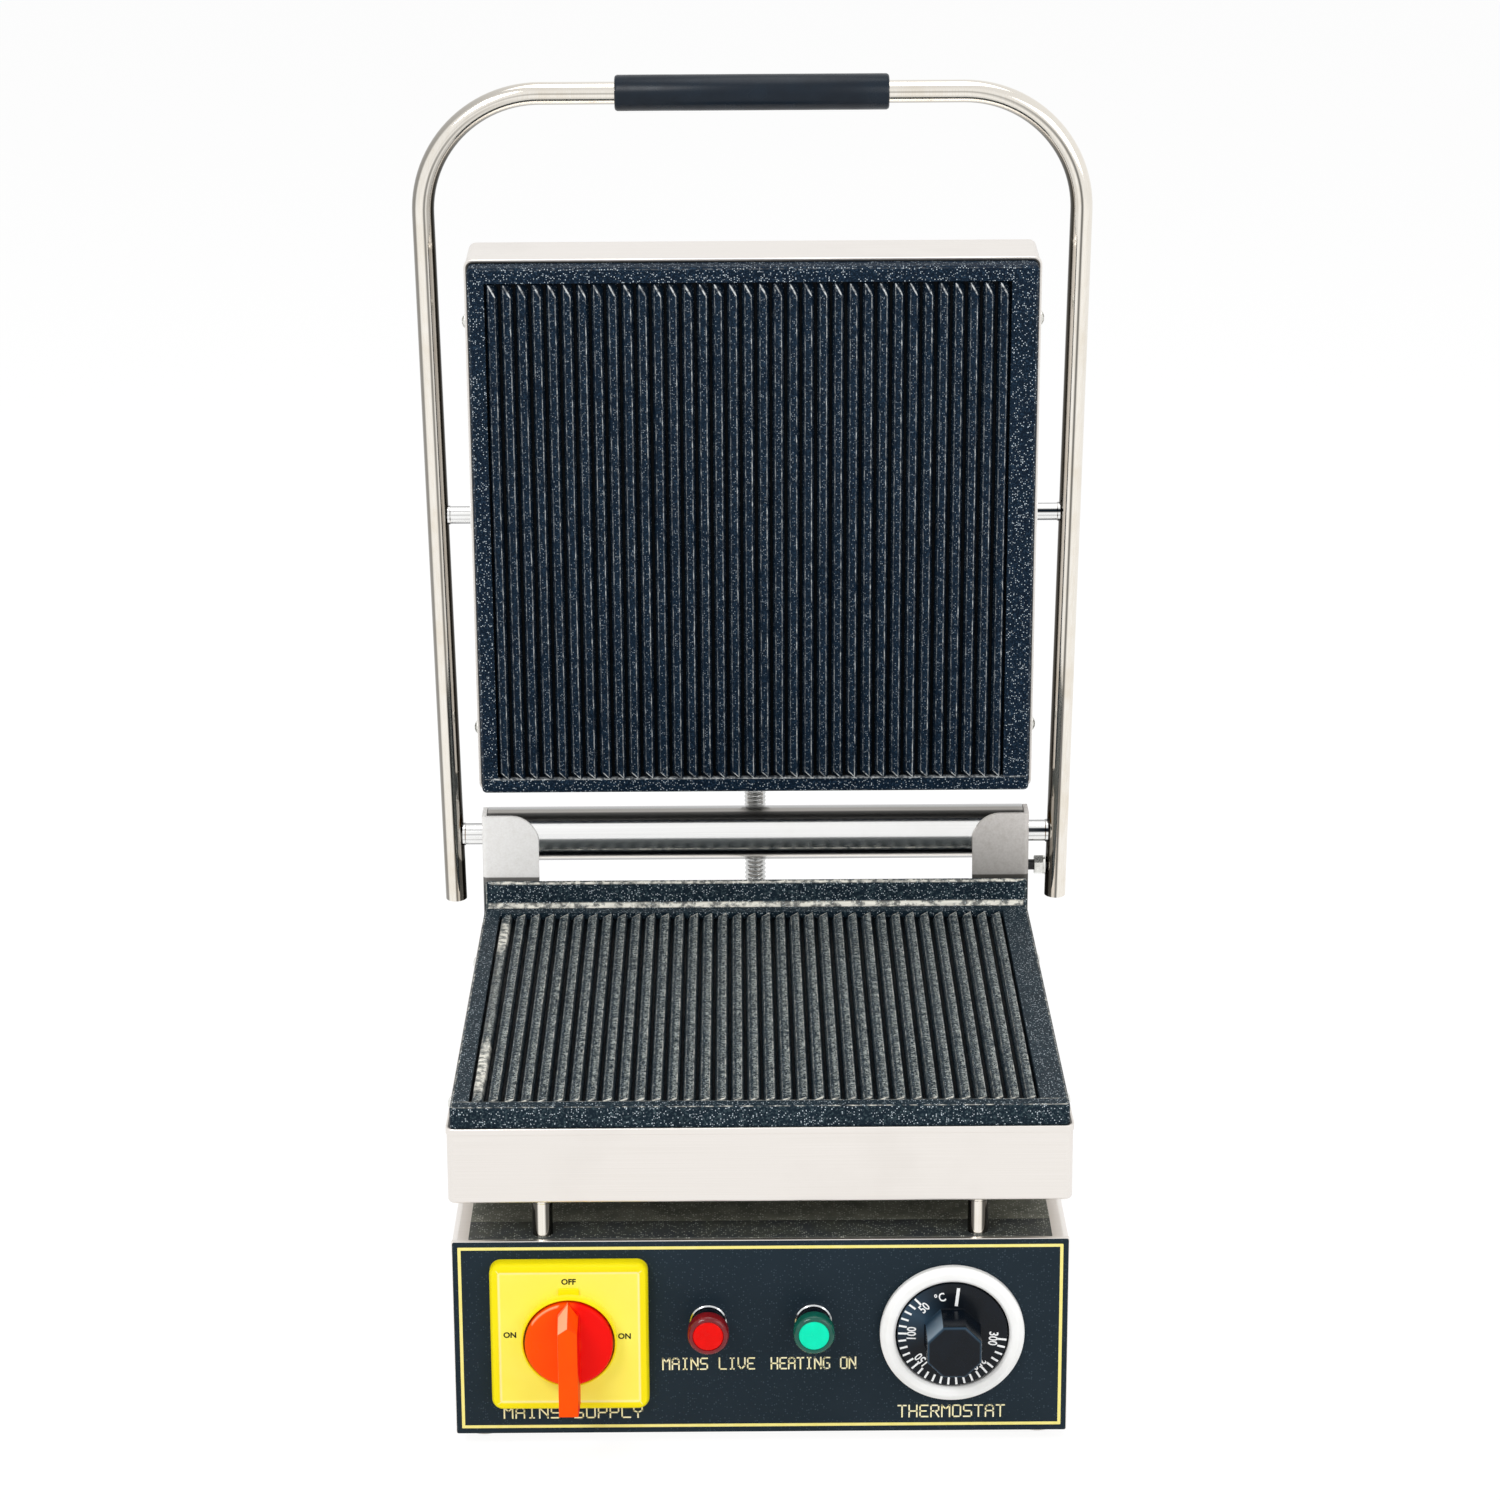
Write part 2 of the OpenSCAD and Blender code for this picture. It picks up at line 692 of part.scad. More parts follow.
module post_nuts() {
    color("silver") each_post() {
        translate([0, 0, housing_z + sheet_t]) hex_nut(nut_w, nut_h, stud_d + 2 * seat_gap);
        translate([0, 0, base_top - sheet_t - nut_h]) hex_nut(nut_w, nut_h, stud_d + 2 * seat_gap);
    }
}

module lower_housing() {
    color("whitesmoke") difference() {
        lower_plate_frame() tray(plate_l, lower_depth, lower_screw_span);
        translate([0, 0, housing_z - cut]) each_post()
            cylinder(d = stud_d + 2 * seat_gap, h = sheet_t + 2 * cut);
    }
}

// Lower plate with its rear lip and a fillet at the lip's foot
module lower_grill_plate() {
    color("#2b3640") lower_plate_frame() {
        cast_plate(plate_l, lip_ledge + lip_t, lower_screw_span);
        intersection() {
            translate([-plate_w / 2, plate_l - lip_t, -cut]) cube([plate_w, lip_t, lip_h + cut]);
            translate([0, plate_l / 2, -cut]) rounded_block(plate_w, plate_l, lip_h + cut, plate_r);
        }
        translate([-plate_w / 2, plate_l - lip_t, 0]) rotate([90, 0, 90])
            linear_extrude(plate_w) polygon([[root, 0], [-lip_fillet, 0],
                [-0.3 * lip_fillet, 0.3 * lip_fillet], [0, lip_fillet], [root, lip_fillet]]);
    }
}

module lower_heating_element() {
    color("dimgray") lower_plate_frame() element(plate_l);
}

module lower_element_clamp() {
    color("silver") lower_plate_frame() element_clamp(plate_l);
}

module lower_clamp_screws() {
    color("silver") lower_plate_frame() clamp_screws(plate_l);
}

module lower_insulation() {
    color("ivory") lower_plate_frame() insulation(plate_l, lower_depth);
}

module lower_side_screws() {
    color("silver") lower_plate_frame() side_screws(plate_l, lower_screw_span);
}

// Sensing bulb between the web and the element clamp
module thermostat_bulb() {
    color("peru") lower_plate_frame()
        translate([0, skirt_w + bulb_in, -crest_t - seat_gap - bulb_d / 2]) y_rod(bulb_d, bulb_l);
}

// Bracket outline in Y and Z, before it is bent
module bracket_side() {
    corner = [hinge_y + bracket_rear - bracket_corner, hinge_z + bracket_shoulder - bracket_corner];
    hull() {
        translate([bracket_y, base_top])
            square([hinge_y + bracket_rear - bracket_y, corner[1] - base_top]);
        translate([bracket_y, base_top]) square([hinge_y - bracket_y, bracket_top - base_top]);
        translate([hinge_y, hinge_z]) circle(flange_rise - bracket_t);
        translate(corner) circle(bracket_corner);
    }
}

// Right-hand bracket: side plate, front flange and foot
module bracket_body(slot) {
    inner_x = bracket_x - bracket_t;
    bend_h = bracket_top - base_top;
    difference() {
        union() {
            translate([inner_x, 0, 0]) rotate([90, 0, 90]) linear_extrude(bracket_t) bracket_side();
            difference() {
                translate([bracket_x - flange_w, bracket_y, bracket_top - flange_h])
                    cube([flange_w, bracket_t, flange_h]);
                translate([bracket_x - flange_w - cut, bracket_y - cut, bracket_top - flange_r])
                    cube([flange_r + cut, bracket_t + 2 * cut, flange_r + cut]);
            }
            translate([bracket_x - flange_w + flange_r, bracket_y, bracket_top - flange_r])
                y_rod(2 * flange_r, bracket_t);
            translate([inner_x - bracket_foot_w, bracket_y + bracket_foot_in, base_top])
                cube([bracket_foot_w + bracket_t, hinge_y + bracket_rear - bracket_y - bracket_foot_in,
                      bracket_t]);
        }
        // Rounded bend between side plate and flange
        translate([inner_x, bracket_y - cut, base_top - cut]) difference() {
            cube([bracket_t + cut, bracket_t + cut, bend_h + 2 * cut]);
            translate([0, bracket_t + cut, -cut]) cylinder(r = bracket_t, h = bend_h + 4 * cut);
        }
        hinge_frame() translate([inner_x - cut, 0, 0]) x_rod(bush_d + 2 * seat_gap, bracket_t + 2 * cut);
        translate([0, 0, base_top - cut]) each_bracket_screw()
            cylinder(d = screw_d + 2 * loose_gap, h = bracket_t + 2 * cut);
        if (slot) hinge_frame() translate([inner_x - cut, 0, 0]) stop_slot(bracket_t + 2 * cut);
    }
}

// Arc slot that the stop bolt rides in
module stop_slot(h) {
    slot_w = stop_d + slot_play;
    start = arm_lean - 90;
    rotate([90, 0, 90]) {
        rotate([0, 0, start]) rotate_extrude(angle = handle_travel)
            translate([stop_drop - slot_w / 2, 0]) square([slot_w, h]);
        for (a = [start, start + handle_travel])
            rotate([0, 0, a]) translate([stop_drop, 0, 0]) cylinder(d = slot_w, h = h);
    }
}

// Places of the bracket screws on the base
module each_bracket_screw() {
    for (sx = [-1, 1], y = [-bracket_screw_front, bracket_screw_rear])
        translate([sx * (bracket_x - bracket_t - bracket_foot_w / 2), hinge_y + y, 0]) children();
}

module left_bracket() {
    color("gainsboro") mirror([1, 0, 0]) bracket_body(false);
}

module right_bracket() {
    color("gainsboro") bracket_body(true);
}

module bracket_screws() {
    color("silver") translate([0, 0, base_top + bracket_t]) each_bracket_screw()
        pan_screw(bracket_t + sheet_t + nut_h + 2, screw_d, wide_head_d);
}

module hinge_tube() {
    color("lightgray") hinge_frame() translate([-tube_l / 2, 0, 0]) difference() {
        x_rod(tube_d, tube_l);
        translate([-cut, 0, 0]) x_rod(tube_d - 2 * tube_wall, tube_l + 2 * cut);
    }
}

// Flanged bushes in the brackets, with the flange inside the tube
module hinge_bushes() {
    bush_l = bracket_t + bush_flange_t;
    color("tan") for (s = [0, 1]) mirror([s, 0, 0]) hinge_frame()
        translate([tube_l / 2 - bush_flange_t, 0, 0]) difference() {
            union() {
                x_rod(bush_flange_d, bush_flange_t);
                x_rod(bush_d, bush_l);
            }
            translate([-cut, 0, 0]) x_rod(shaft_d + 2 * run_gap, bush_l + 2 * cut);
        }
}

// Ring k of a coil's wire
function coil_ring(k) = let (turn = k * 360 / spring_steps)
    [for (j = [0 : spring_sides - 1])
        let (a = j * 360 / spring_sides, r = spring_r + spring_wire / 2 * cos(a))
        [turn / 360 * spring_pitch + spring_wire / 2 * sin(a), r * cos(turn), r * sin(turn)]];

// Faces of a tube of n + 1 rings with m points each, and its two end caps
function tube_faces(n, m) = concat(
    [for (k = [0 : n - 1], j = [0 : m - 1]) let (a = k * m + j, b = k * m + (j + 1) % m)
        each [[a, b, b + m], [a, b + m, a + m]]],
    [[for (j = [m - 1 : -1 : 0]) j], [for (j = [0 : m - 1]) n * m + j]]);

// Torsion spring round the shaft, inside the tube
module torsion_spring() {
    n = spring_turns * spring_steps;
    pts = [for (k = [0 : n]) each coil_ring(k)];
    translate([-tube_l / 2 + spring_out, 0, 0]) polyhedron(points = pts, faces = tube_faces(n, spring_sides));
}

module left_spring() {
    color("slategray") hinge_frame() torsion_spring();
}

module right_spring() {
    color("slategray") hinge_frame() rotate([0, 0, 180]) torsion_spring();
}

// Square plate with a ring round the knob and a raised tab above it
module switch_plate() {
    face_w = switch_plate_w - 2 * switch_bevel;
    raised = switch_plate_t + switch_relief;
    color("gold") translate([-switch_x, front_y, foot_h + switch_up]) rotate([90, 0, 0]) difference() {
        union() {
            rounded_block(switch_plate_w, switch_plate_w, switch_plate_t - switch_bevel, switch_plate_r);
            rounded_block(face_w, face_w, switch_plate_t, switch_plate_r - switch_bevel);
            cylinder(d = switch_ring_in + 2 * switch_ring_w, h = switch_plate_t + switch_collar_h);
            translate([-switch_tab_w / 2, switch_ring_in / 2, 0]) cube([switch_tab_w, switch_tab_l, raised]);
        }
        translate([0, 0, switch_plate_t]) cylinder(d = switch_ring_in, h = switch_collar_h + cut);
        translate([0, 0, -cut]) cylinder(d = knob_shaft_d + 2, h = switch_plate_t + 2 * cut);
    }
}

module switch_body() {
    color("dimgray") translate([-switch_x, front_y + panel_t, foot_h + switch_up]) difference() {
        union() {
            translate([-switch_flange_w / 2, 0, -switch_flange_w / 2])
                cube([switch_flange_w, switch_flange_t, switch_flange_w]);
            translate([-switch_box_w / 2, switch_flange_t, -switch_box_w / 2])
                cube([switch_box_w, switch_box_l, switch_box_w]);
        }
        translate([0, -cut, 0]) y_rod(knob_shaft_d + 2 * run_gap, switch_flange_t + shaft_past + 2 * cut);
    }
}

// Cam-switch knob: disc with a raised pointer bar
module switch_knob() {
    bar_top = knob_disc_t + knob_bar_h;
    half_w = knob_bar_w / 2;
    side = [[knob_disc_d / 3, 0], [knob_disc_d / 3, knob_under], [knob_tip_l, knob_under],
            [knob_tip_l, knob_under + 1], [knob_tip_l - knob_tip_slope, bar_top],
            [knob_chamfer - knob_tail_l, bar_top], [-knob_tail_l, bar_top - knob_chamfer],
            [-knob_tail_l, knob_under], [-knob_disc_d / 3, knob_under], [-knob_disc_d / 3, 0]];
    face = [[0, knob_tip_l], [half_w, knob_tip_l - knob_bar_w], [half_w, 1 - knob_tail_l],
            [half_w - 1, -knob_tail_l], [1 - half_w, -knob_tail_l],
            [-half_w, 1 - knob_tail_l], [-half_w, knob_tip_l - knob_bar_w]];
    color("orangered") translate([-switch_x, front_y - switch_plate_t - knob_gap, foot_h + switch_up])
        rotate([90, 0, 0]) difference() {
            union() {
                cylinder(d = knob_disc_d, h = knob_disc_t - 1);
                cylinder(d1 = knob_disc_d, d2 = knob_disc_d - 2, h = knob_disc_t);
                intersection() {
                    linear_extrude(bar_top) polygon(face);
                    translate([-knob_bar_w, 0, 0]) rotate([90, 0, 90])
                        linear_extrude(2 * knob_bar_w) polygon(side);
                }
            }
            translate([0, 0, -cut]) cylinder(d = knob_shaft_d + 2 * seat_gap, h = knob_socket + cut);
        }
}

module switch_shaft() {
    front = knob_socket + knob_gap + switch_plate_t;
    color("silver") translate([-switch_x, front_y - front, foot_h + switch_up])
        y_rod(knob_shaft_d, front + panel_t + switch_flange_t + shaft_past);
}

// Lamp stems through the panel, each with a thin collar and a neck in front of it
module lamp_bodies() {
    color("darkgray") for (s = [-1, 1])
        translate([s * lamp_span / 2, front_y, foot_h + lamp_up]) {
            translate([0, -collar_t, 0]) y_rod(lamp_collar_d, collar_t);
            translate([0, -collar_t - lamp_neck_l, 0]) y_rod(lamp_neck_d, lamp_neck_l + cut);
            y_rod(lamp_stem_d, panel_t + lamp_stem_l);
        }
}

module lamp_nuts() {
    color("silver") for (s = [-1, 1])
        translate([s * lamp_span / 2, front_y + panel_t, foot_h + lamp_up])
            rotate([-90, 0, 0]) hex_nut(lamp_stem_d + 4, lamp_nut_t, lamp_stem_d + 2 * seat_gap);
}

// Lamp cap with a bevelled rim and a domed lens
module lamp_cap() {
    r = lamp_cap_d / 2;
    lens = lamp_lens_d / 2;
    rotate([90, 0, 0]) {
        rotate_extrude() polygon([[0, 0], [r, 0], [r, 0.7 * lamp_cap_l], [lens + 0.3, lamp_cap_l],
            [0, lamp_cap_l]]);
        intersection() {
            cylinder(r = lens, h = 2 * lamp_cap_l);
            translate([0, 0, lamp_cap_l + lamp_dome * (1 - lens)]) sphere(r = lamp_dome * lens);
        }
    }
}

module red_lamp() {
    color("red") translate([-lamp_span / 2, front_y - collar_t - lamp_neck_l, foot_h + lamp_up])
        lamp_cap();
}

module green_lamp() {
    color("mediumspringgreen") translate([lamp_span / 2, front_y - collar_t - lamp_neck_l, foot_h + lamp_up])
        lamp_cap();
}

// White ring round the dial, with a rounded front
module dial_ring() {
    r = ring_d / 2;
    hole = dial_skirt_d / 2 + dial_play;
    color("white") translate([dial_x, front_y, foot_h + dial_up]) rotate([90, 0, 0])
        rotate_extrude() polygon([[hole, 0], [r, 0], [r, ring_t / 2], [r - ring_t / 5, ring_t * 0.85],
            [r - ring_t / 2, ring_t], [hole + ring_t / 4, ring_t], [hole, ring_t * 0.8]]);
}

// Numbered skirt with an eight-sided grip
module thermostat_knob() {
    half_side = 360 / 16;
    corner_d = dial_grip_w / cos(half_side);
    side_h = dial_skirt_t + dial_grip_h - dial_grip_bevel;
    color("#1e2430") translate([dial_x, front_y - dial_gap, foot_h + dial_up]) rotate([90, 0, 0])
        difference() {
            union() {
                cylinder(d = dial_skirt_d, h = dial_skirt_t - dial_bevel);
                cylinder(d1 = dial_skirt_d, d2 = dial_skirt_d - 2 * dial_bevel, h = dial_skirt_t);
                rotate([0, 0, half_side]) {
                    cylinder(d = corner_d, h = side_h, $fn = 8);
                    translate([0, 0, side_h]) cylinder(d1 = corner_d, d2 = corner_d - 2 * dial_grip_bevel,
                                                       h = dial_grip_bevel, $fn = 8);
                }
            }
            translate([0, 0, -cut]) cylinder(d = knob_shaft_d + 2 * seat_gap, h = dial_socket + cut);
        }
}

module thermostat_shaft() {
    front = dial_gap + dial_socket;
    color("silver") translate([dial_x, front_y - front, foot_h + dial_up])
        y_rod(knob_shaft_d, front + panel_t + shaft_past);
}

module thermostat_body() {
    color("beige") translate([dial_x, front_y + panel_t, foot_h + dial_up]) difference() {
        union() {
            translate([-thermostat_flange[0] / 2, 0, -thermostat_flange[2] / 2]) cube(thermostat_flange);
            translate([-thermostat_box[0] / 2, thermostat_flange[1], -thermostat_box[2] / 2])
                cube(thermostat_box);
        }
        translate([0, -cut, 0]) y_rod(knob_shaft_d + 2 * run_gap, shaft_past + 2 * cut);
    }
}

module terminal_block() {
    color("ivory") translate([inlet_x, rear_y - terminal_from_rear, foot_h + sheet_t]) difference() {
        cube(terminal_size);
        for (i = [0 : terminal_ways - 1])
            translate([(i + 0.5) * terminal_pitch, -cut, terminal_size[2] / 3])
                y_rod(terminal_bore, terminal_size[1] + 2 * cut);
    }
}

// Cord inlet in the back: thread, hexagon, nose and lock nut
module mains_gland() {
    corner_d = inlet_hex_w / cos(30);
    full_l = inlet_thread_l + inlet_hex_t + inlet_nose_l;
    color("#2a2a2a") translate([inlet_x, rear_y, foot_h + inlet_up]) rotate([-90, 0, 0]) difference() {
        union() {
            translate([0, 0, -inlet_thread_l]) cylinder(d = inlet_thread_d, h = inlet_thread_l);
            cylinder(d = corner_d, h = inlet_hex_t, $fn = 6);
            translate([0, 0, -sheet_t - inlet_nut_t]) cylinder(d = corner_d, h = inlet_nut_t, $fn = 6);
            translate([0, 0, inlet_hex_t])
                cylinder(d1 = inlet_hex_w - 2, d2 = inlet_bore_d + 7, h = inlet_nose_l);
        }
        translate([0, 0, -inlet_thread_l - cut]) cylinder(d = inlet_bore_d, h = full_l + 2 * cut);
    }
}

// Gland on a plate of thickness sheet_t: outside on z > 0
module conduit_gland() {
    inside = sheet_t + gland_in;
    difference() {
        union() {
            translate([0, 0, -inside]) cylinder(d = conduit_d, h = inside);
            cylinder(d = conduit_d + 3, h = gland_out);
            cylinder(d = (conduit_d + 2) / cos(30), h = gland_hex_t, $fn = 6);
            translate([0, 0, -sheet_t - gland_nut_t]) cylinder(d = gland_nut_d, h = gland_nut_t);
        }
        translate([0, 0, -inside - cut]) cylinder(d = conduit_d - 3, h = inside + gland_out + 2 * cut);
    }
}

module conduit_base_gland() {
    color("silver") translate([0, hinge_y + conduit_back, base_top]) conduit_gland();
}

module upper_conduit_gland() {
    color("silver") upper_plate_frame()
        translate([0, -plate_fit - sheet_t, -gland_depth]) rotate([90, 0, 0]) conduit_gland();
}

// Centre line of the conduit: straight up, then a curve into the upper gland
function lean_point(along, depth) = let (a = arm_lean + rest_tilt)
    [0, hinge_y - pivot_dist * sin(arm_lean) - along * sin(a) + depth * cos(a),
     hinge_z + pivot_dist * cos(arm_lean) + along * cos(a) + depth * sin(a)];
gland_mouth = lean_point(upper_near - plate_fit - sheet_t - gland_out - loose_gap,
    gland_depth - pivot_depth);
gland_inner = lean_point(upper_near - plate_fit - sheet_t - gland_out - conduit_lead,
    gland_depth - pivot_depth);
conduit_foot = [0, hinge_y + conduit_back, base_top + gland_out];
conduit_bend = [0, hinge_y + conduit_back, hinge_z - conduit_straight];
function bezier(a, b, c, d, t) =
    pow(1 - t, 3) * a + 3 * t * pow(1 - t, 2) * b + 3 * t * t * (1 - t) * c + t * t * t * d;
conduit_route = concat(
    [for (i = [0 : 3]) conduit_foot + i / 4 * (conduit_bend - conduit_foot)],
    [for (i = [0 : 12])
        bezier(conduit_bend, conduit_bend + [0, 0, conduit_rise], gland_inner, gland_mouth, i / 12)]);

// Ring of the conduit at point k, square to its centre line
function conduit_ring(k) = let (
        n = len(conduit_route) - 1,
        d = conduit_route[min(k + 1, n)] - conduit_route[max(k - 1, 0)],
        u = d / norm(d),
        side = [0, u[2], -u[1]])
    [for (j = [0 : conduit_sides - 1]) let (a = j * 360 / conduit_sides)
        conduit_route[k] + conduit_d / 2 * (cos(a) * [1, 0, 0] + sin(a) * side)];

module wiring_conduit() {
    n = len(conduit_route) - 1;
    pts = [for (k = [0 : n]) each conduit_ring(k)];
    color("lightgray") polyhedron(points = pts, faces = tube_faces(n, conduit_sides));
}

// Frame of the right bend: centre on the origin, arm side towards +X
module bend_frame() {
    translate([bend_x, 0, handle_l - bend_r]) rotate([90, 0, 0]) rotate([0, 0, -splay]) children();
}

// Right arm from its tail to the bend, in the handle's frame
module arm(d) {
    bend_frame() translate([bend_r, 0, 0]) rotate([90, 0, 0])
        cylinder(d = d, h = (tail_l + bend_start) / cos(splay));
}

// Arm with its tail and bend, and the hole for a stop bolt
module bent_arm(stop) {
    difference() {
        union() {
            arm(bar_d);
            bend_frame() rotate_extrude(angle = 90 + splay) translate([bend_r, 0]) circle(d = bar_d);
        }
        if (stop) translate([stop_x - bar_d, 0, -stop_drop]) x_rod(stop_d + 2 * seat_gap, bar_d);
    }
}

module left_arm() {
    color("silver") handle_frame() mirror([1, 0, 0]) bent_arm(false);
}

module right_arm() {
    color("silver") handle_frame() bent_arm(true);
}

// Straight bar between the bends
module cross_bar() {
    half = bend_x - weld_gap;
    color("silver") handle_frame() translate([-half, 0, handle_l]) x_rod(bar_d, 2 * half);
}

// Round sleeve with chamfered ends
module handle_grip() {
    color("#1b2433") handle_frame() translate([-grip_l / 2, 0, handle_l]) rotate([0, 90, 0]) difference() {
        rotate_extrude() polygon([[0, 0], [grip_d / 2 - grip_chamfer, 0], [grip_d / 2, grip_chamfer],
            [grip_d / 2, grip_l - grip_chamfer], [grip_d / 2 - grip_chamfer, grip_l], [0, grip_l]]);
        translate([0, 0, -cut]) cylinder(d = bar_d + 2 * seat_gap, h = grip_l + 2 * cut);
    }
}

// Shaft from arm to arm, its ends fitted to the round arms
module hinge_shaft() {
    color("silver") handle_frame() difference() {
        translate([-arm_x, 0, 0]) x_rod(shaft_d, 2 * arm_x);
        for (s = [0, 1]) mirror([s, 0, 0]) arm(bar_d);
    }
}

// Pins from the arms into the upper housing, each with an inner head
module pivot_pins() {
    color("silver") handle_frame() for (s = [0, 1]) mirror([s, 0, 0]) difference() {
        translate([housing_w / 2 - pin_in, 0, pivot_dist]) {
            x_rod(pivot_d, pivot_x - housing_w / 2 + pin_in);
            translate([-pin_head_t / 2, 0, 0]) x_rod(pivot_d + 3, pin_head_t);
        }
        arm(bar_d);
    }
}

module stop_bolt() {
    color("#30302e") handle_frame()
        translate([bracket_x - bracket_t - stop_head, 0, -stop_drop])
            x_rod(stop_d, stop_x - bracket_x + bracket_t + stop_head);
}

module stop_nut() {
    color("silver") handle_frame()
        translate([stop_x - bar_d / 2 - stop_nut_t - stop_washer_t - loose_gap, 0, -stop_drop])
            rotate([0, 90, 0]) hex_nut(nut_w, stop_nut_t, stop_d + 2 * seat_gap);
}

module stop_washer() {
    color("silver") handle_frame()
        translate([stop_x - bar_d / 2 - stop_washer_t - 2 * seat_gap, 0, -stop_drop]) difference() {
            x_rod(stop_washer_d, stop_washer_t);
            translate([-cut, 0, 0]) x_rod(stop_d + 2 * seat_gap, stop_washer_t + 2 * cut);
        }
}

module upper_housing() {
    color("whitesmoke") difference() {
        upper_plate_frame() tray(upper_l, upper_depth, upper_screw_span);
        upper_frame() for (s = [0, 1]) mirror([s, 0, 0])
            translate([housing_w / 2 - 2 * sheet_t, 0, 0]) x_rod(pivot_d + 4 + 2 * seat_gap, 4 * sheet_t);
        upper_plate_frame() translate([0, cut, -gland_depth])
            rotate([90, 0, 0]) cylinder(d = conduit_d + 2 * seat_gap, h = 4 * sheet_t + cut);
        upper_plate_frame() translate([0, 0, -housing_back - cut]) each_cover_screw()
            cylinder(d = screw_d + 2 * seat_gap, h = sheet_t + 2 * cut);
    }
}

module upper_grill_plate() {
    color("#1e2a38") upper_plate_frame() cast_plate(upper_l, border_end, upper_screw_span);
}

module upper_heating_element() {
    color("dimgray") upper_plate_frame() element(upper_l);
}

module upper_element_clamp() {
    color("silver") upper_plate_frame() element_clamp(upper_l);
}

module upper_clamp_screws() {
    color("silver") upper_plate_frame() clamp_screws(upper_l);
}

module upper_insulation() {
    color("ivory") upper_plate_frame() difference() {
        insulation(upper_l, upper_depth);
        translate([0, 0, -housing_back]) each_cover_screw() cylinder(d = 2 * screw_d, h = 2 * tap_depth);
    }
}

module upper_side_screws() {
    color("silver") upper_plate_frame() side_screws(upper_l, upper_screw_span);
}

// Flanged bushes in the upper housing's sides
module pivot_bushes() {
    color("lightgray") upper_frame() for (s = [0, 1]) mirror([s, 0, 0])
        translate([housing_w / 2 - bush_in, 0, 0]) difference() {
            union() {
                x_rod(pivot_d + 4, bush_in);
                translate([bush_in, 0, 0]) x_rod(pivot_d + 6, bush_rim_t);
                translate([bush_in - sheet_t - bush_nut_t, 0, 0]) x_rod(pivot_d + 6, bush_nut_t);
            }
            translate([-cut, 0, 0]) x_rod(pivot_d + 2 * run_gap, bush_in + bush_rim_t + 2 * cut);
        }
}

// Places of the access cover's screws
module each_cover_screw() {
    for (sx = [-1, 1], sy = [-1, 1])
        translate([sx * (cover_w / 2 - cover_screw_in),
                   cover_in + cover_l / 2 + sy * (cover_l / 2 - cover_screw_in), 0]) children();
}

// Cover over the wiring on the back of the upper housing
module upper_access_cover() {
    color("gainsboro") upper_plate_frame() translate([0, 0, -housing_back - sheet_t]) difference() {
        translate([0, cover_in + cover_l / 2, 0]) rounded_block(cover_w, cover_l, sheet_t, cover_r);
        translate([0, 0, -cut]) each_cover_screw()
            cylinder(d = screw_d + 2 * seat_gap, h = sheet_t + 2 * cut);
    }
}

module cover_screws() {
    color("silver") upper_plate_frame() translate([0, 0, -housing_back - sheet_t]) each_cover_screw()
        mirror([0, 0, 1]) pan_screw(2 * sheet_t + nut_h, screw_d, flat_head_d, flat_head_h);
}

base_shell();
front_panel();
base_cover();
heat_shield();
rubber_feet();
foot_screws();
support_posts();
post_nuts();
lower_housing();
lower_grill_plate();
lower_heating_element();
lower_element_clamp();
lower_clamp_screws();
lower_insulation();
lower_side_screws();
thermostat_bulb();
left_bracket();
right_bracket();
bracket_screws();
hinge_tube();
hinge_bushes();
left_spring();
right_spring();
switch_plate();
switch_body();
lamp_bodies();
lamp_nuts();
red_lamp();
green_lamp();
dial_ring();
thermostat_body();
terminal_block();
mains_gland();
conduit_base_gland();
wiring_conduit();
switch_knob();
switch_shaft();
thermostat_knob();
thermostat_shaft();
left_arm();
right_arm();
cross_bar();
handle_grip();
hinge_shaft();
pivot_pins();
stop_bolt();
stop_nut();
stop_washer();
upper_housing();
upper_grill_plate();
upper_heating_element();
upper_element_clamp();
upper_clamp_screws();
upper_insulation();
upper_side_screws();
upper_access_cover();
cover_screws();
pivot_bushes();
upper_conduit_gland();
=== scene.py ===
"""Looks of a single contact grill: finishes, detailed meshes and a soft studio round the fixed frame."""

import json
import logging
import math
from dataclasses import dataclass, field
from enum import Enum
from typing import Callable, Iterable, Sequence, Union

import bmesh
import bpy
from mathutils import Matrix, Vector, noise


